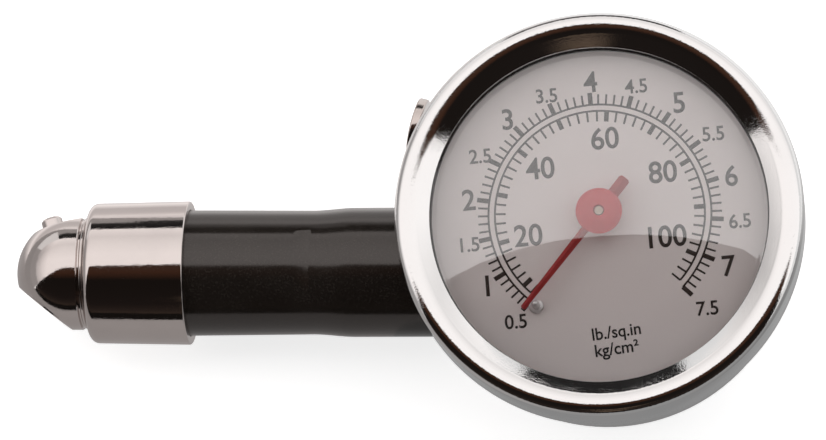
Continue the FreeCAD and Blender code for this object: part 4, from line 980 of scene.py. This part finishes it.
# Front edge of the light panel, an arch over the gauge; dark cards carry on from it to the horizon.
PANEL_EDGE = [(-1444, -470), (-740, -205), (-400, -72), (-279, -27), (-223, -8), (-147, 11), (-79, 22),
              (-17, 27), (43, 30), (109, 28), (176, 21), (223, 14), (300, -25), (560, -165), (860, -268)]
CARD_LEFT, CARD_RIGHT, CARD_FRONT = (-4500, -1640), (3500, -1474), -1800
BACK_CARD, BACK_CARD_STEP = (-470, 290), -190
PANEL_STRENGTH = 1.3
FLOOR_LIFT = 0.72
FLOOR_REACH = 6000
WORLD_LIGHT, WORLD_SEEN = 0.2, 0.95
PANEL_GLOW_X = [grey(-1444, 0.5), grey(-900, 0.68), grey(-500, 0.98), grey(860, 1.0, 0.02)]
PANEL_GLOW_Y = [grey(-470, 1.0, 0.0), grey(150, 1.0, 0.0), grey(500, 0.8, 0.0), grey(PANEL_FAR, 1.0, 0.0)]
BACK_LEFT_GLOW = [grey(0, 0.33), grey(145, 0.3), grey(180, 0.03), grey(PANEL_HEIGHT, 0.008)]
BACK_RIGHT_GLOW = [grey(0, 0.33), grey(95, 0.31), grey(120, 0.03), grey(PANEL_HEIGHT, 0.008)]
TAN_CARD, TAN_NEAR, TAN_FAR = (-90, 150), (-570, -430), (-1300, -720)
TAN_GLOW = [(TAN_CARD[0], 0.01, 0.008, 0.007), (-20, 0.085, 0.06, 0.043), (60, 0.085, 0.06, 0.043),
            (TAN_CARD[1], 0.01, 0.008, 0.007)]
DARK_CARD = [(CARD_FRONT, 0.035, 0.025, 0.02), (-700, 0.012, 0.009, 0.008), (-150, 0.009, 0.007, 0.006),
             (-60, 0.045, 0.02, 0.012), (40, 0.05, 0.03, 0.022)]
# The floor sheens are a painted reflection of the floor for shiny surfaces and glass: painted shade where
# the gauge shades the floor, darkest just in front of it, and lighter behind it.
# Where the floor's sheen changes from the stem's front end to the grip and on to the bezel.
SHEEN_REACH, SHEEN_GRIP, SHEEN_RING, SHEEN_LEVEL = 3000, -120, -30, 0.1
HANDLE_SHEEN = [grey(CARD_FRONT, 0.32), grey(-60, 0.32), grey(-8, 0.3), grey(5, 0.35), grey(8, 0.95),
                grey(16, 0.9), grey(22, 0.55), grey(55, 0.6), grey(100, 0.85), grey(300, 0.7),
                grey(PANEL_FAR, 1.0, 0.0)]
BEZEL_SHEEN = [grey(CARD_FRONT, 0.3, 0.0), grey(-60, 0.27, 0.0), grey(-28, 0.2, 0.0), grey(-5, 0.3, 0.0),
               grey(15, 0.5, 0.0), grey(35, 0.85, 0.0), grey(PANEL_FAR, 1.0, 0.0)]


def level_sheet(name, across, along, level, finish):
    """A flat sheet that lies level; across and along are its ends in x and in y."""
    (left, right), (front, back) = across, along
    corners = [(left, front, level), (right, front, level), (right, back, level), (left, back, level)]
    return flat_sheet(name, corners, finish)


def floor_sheen(name, left, right, finish):
    """A painted reflection of the floor, with painted shade near the gauge, that shiny surfaces see between
    two places along x.
    """
    return level_sheet(name, (left, right), (CARD_FRONT, PANEL_FAR), SHEEN_LEVEL, finish)


def make_studio():
    """Pale floor, an overhead light panel and the cards that only shiny surfaces and glass show."""
    floor_finish, tree, shader, output = new_finish("floor_paper")
    shader.inputs["Roughness"].default_value = 0.8
    shader.inputs["Specular IOR Level"].default_value = 0.1
    tooth = placed_group(tree, MARKS, Size=0.05, Amount=1.0)
    tree.links.new(mixed(tree, tooth, colour(0.92, 0.92, 0.92), colour(0.9, 0.9, 0.9)),
                   shader.inputs["Base Color"])
    lift = node(tree, "ShaderNodeEmission", {"Color": colour(1, 1, 1)})
    tree.links.new(maths(tree, "MULTIPLY", seen_directly(tree), FLOOR_LIFT), lift.inputs["Strength"])
    both = node(tree, "ShaderNodeAddShader", {0: shader.outputs[0], 1: lift.outputs[0]})
    tree.links.new(both.outputs[0], output.inputs[0])
    reach = (-FLOOR_REACH, FLOOR_REACH)
    level_sheet("floor", reach, reach, 0, floor_finish)

    top = PANEL_HEIGHT
    edge = [(x, y, top) for x, y in PANEL_EDGE]
    left, right = PANEL_EDGE[0][0], PANEL_EDGE[-1][0]
    panel = flat_sheet("light_panel", edge + [(right, PANEL_FAR, top), (left, PANEL_FAR, top)],
                       glow_over("panel_glow", X=PANEL_GLOW_X, Y=PANEL_GLOW_Y))
    panel.visible_camera = False

    black = glow("card_black", colour(1.0, 0.85, 0.75), 0.01)
    tan = glow_over("card_tan", X=TAN_GLOW)
    dim = glow("card_grey", colour(1.0, 0.96, 0.95), 0.42)
    front_left, front_right = (CARD_LEFT[0], CARD_FRONT), (CARD_RIGHT[0], CARD_FRONT)
    over_front = edge + [(*CARD_RIGHT, top), (*front_right, top), (*front_left, top), (*CARD_LEFT, top)]
    back_left, back_step, back_right = [(x, PANEL_FAR) for x in (BACK_CARD[0], BACK_CARD_STEP, BACK_CARD[1])]
    back_left_finish = glow_over("back_left_glow", Z=BACK_LEFT_GLOW)
    back_right_finish = glow_over("back_right_glow", Z=BACK_RIGHT_GLOW)
    sheen = glow("sheen_dim", colour(1.0, 0.96, 0.95), 0.38)
    handle_sheen = glow_over("sheen_handle_glow", Y=HANDLE_SHEEN)
    under = top - 1
    cards = [
        flat_sheet("card_over_front", over_front, glow_over("card_dark", Y=DARK_CARD)),
        level_sheet("card_tan_near", TAN_CARD, TAN_NEAR, under, tan),
        level_sheet("card_tan_far", TAN_CARD, TAN_FAR, under, tan),
        upright("card_front", front_left, front_right, 0, top, black),
        upright("card_back_left", back_left, back_step, 0, top, back_left_finish),
        upright("card_back_right", back_step, back_right, 0, top, back_right_finish),
        upright("card_left", (left, PANEL_EDGE[0][1]), (left, PANEL_FAR), 0, top, dim),
        floor_sheen("sheen_left", -SHEEN_REACH, SHEEN_GRIP, sheen),
        floor_sheen("sheen_handle", SHEEN_GRIP, SHEEN_RING, handle_sheen),
        floor_sheen("sheen_bezel", SHEEN_RING, SHEEN_REACH, glow_over("sheen_bezel_glow", Y=BEZEL_SHEEN)),
    ]
    for sheet in cards:
        sheet.visible_camera = sheet.visible_diffuse = sheet.visible_shadow = False

    world = bpy.data.worlds.new("studio")
    world.use_nodes = True
    tree = world.node_tree
    tree.nodes.clear()
    strength = ramp(tree, seen_directly(tree), 0, 1, WORLD_LIGHT, WORLD_SEEN)
    sky = node(tree, "ShaderNodeBackground", {"Color": colour(1, 1, 1), "Strength": strength})
    node(tree, "ShaderNodeOutputWorld", {"Surface": sky.outputs[0]})
    bpy.context.scene.world = world


make_camera()
make_studio()
bpy.context.scene.view_settings.view_transform = "Standard"
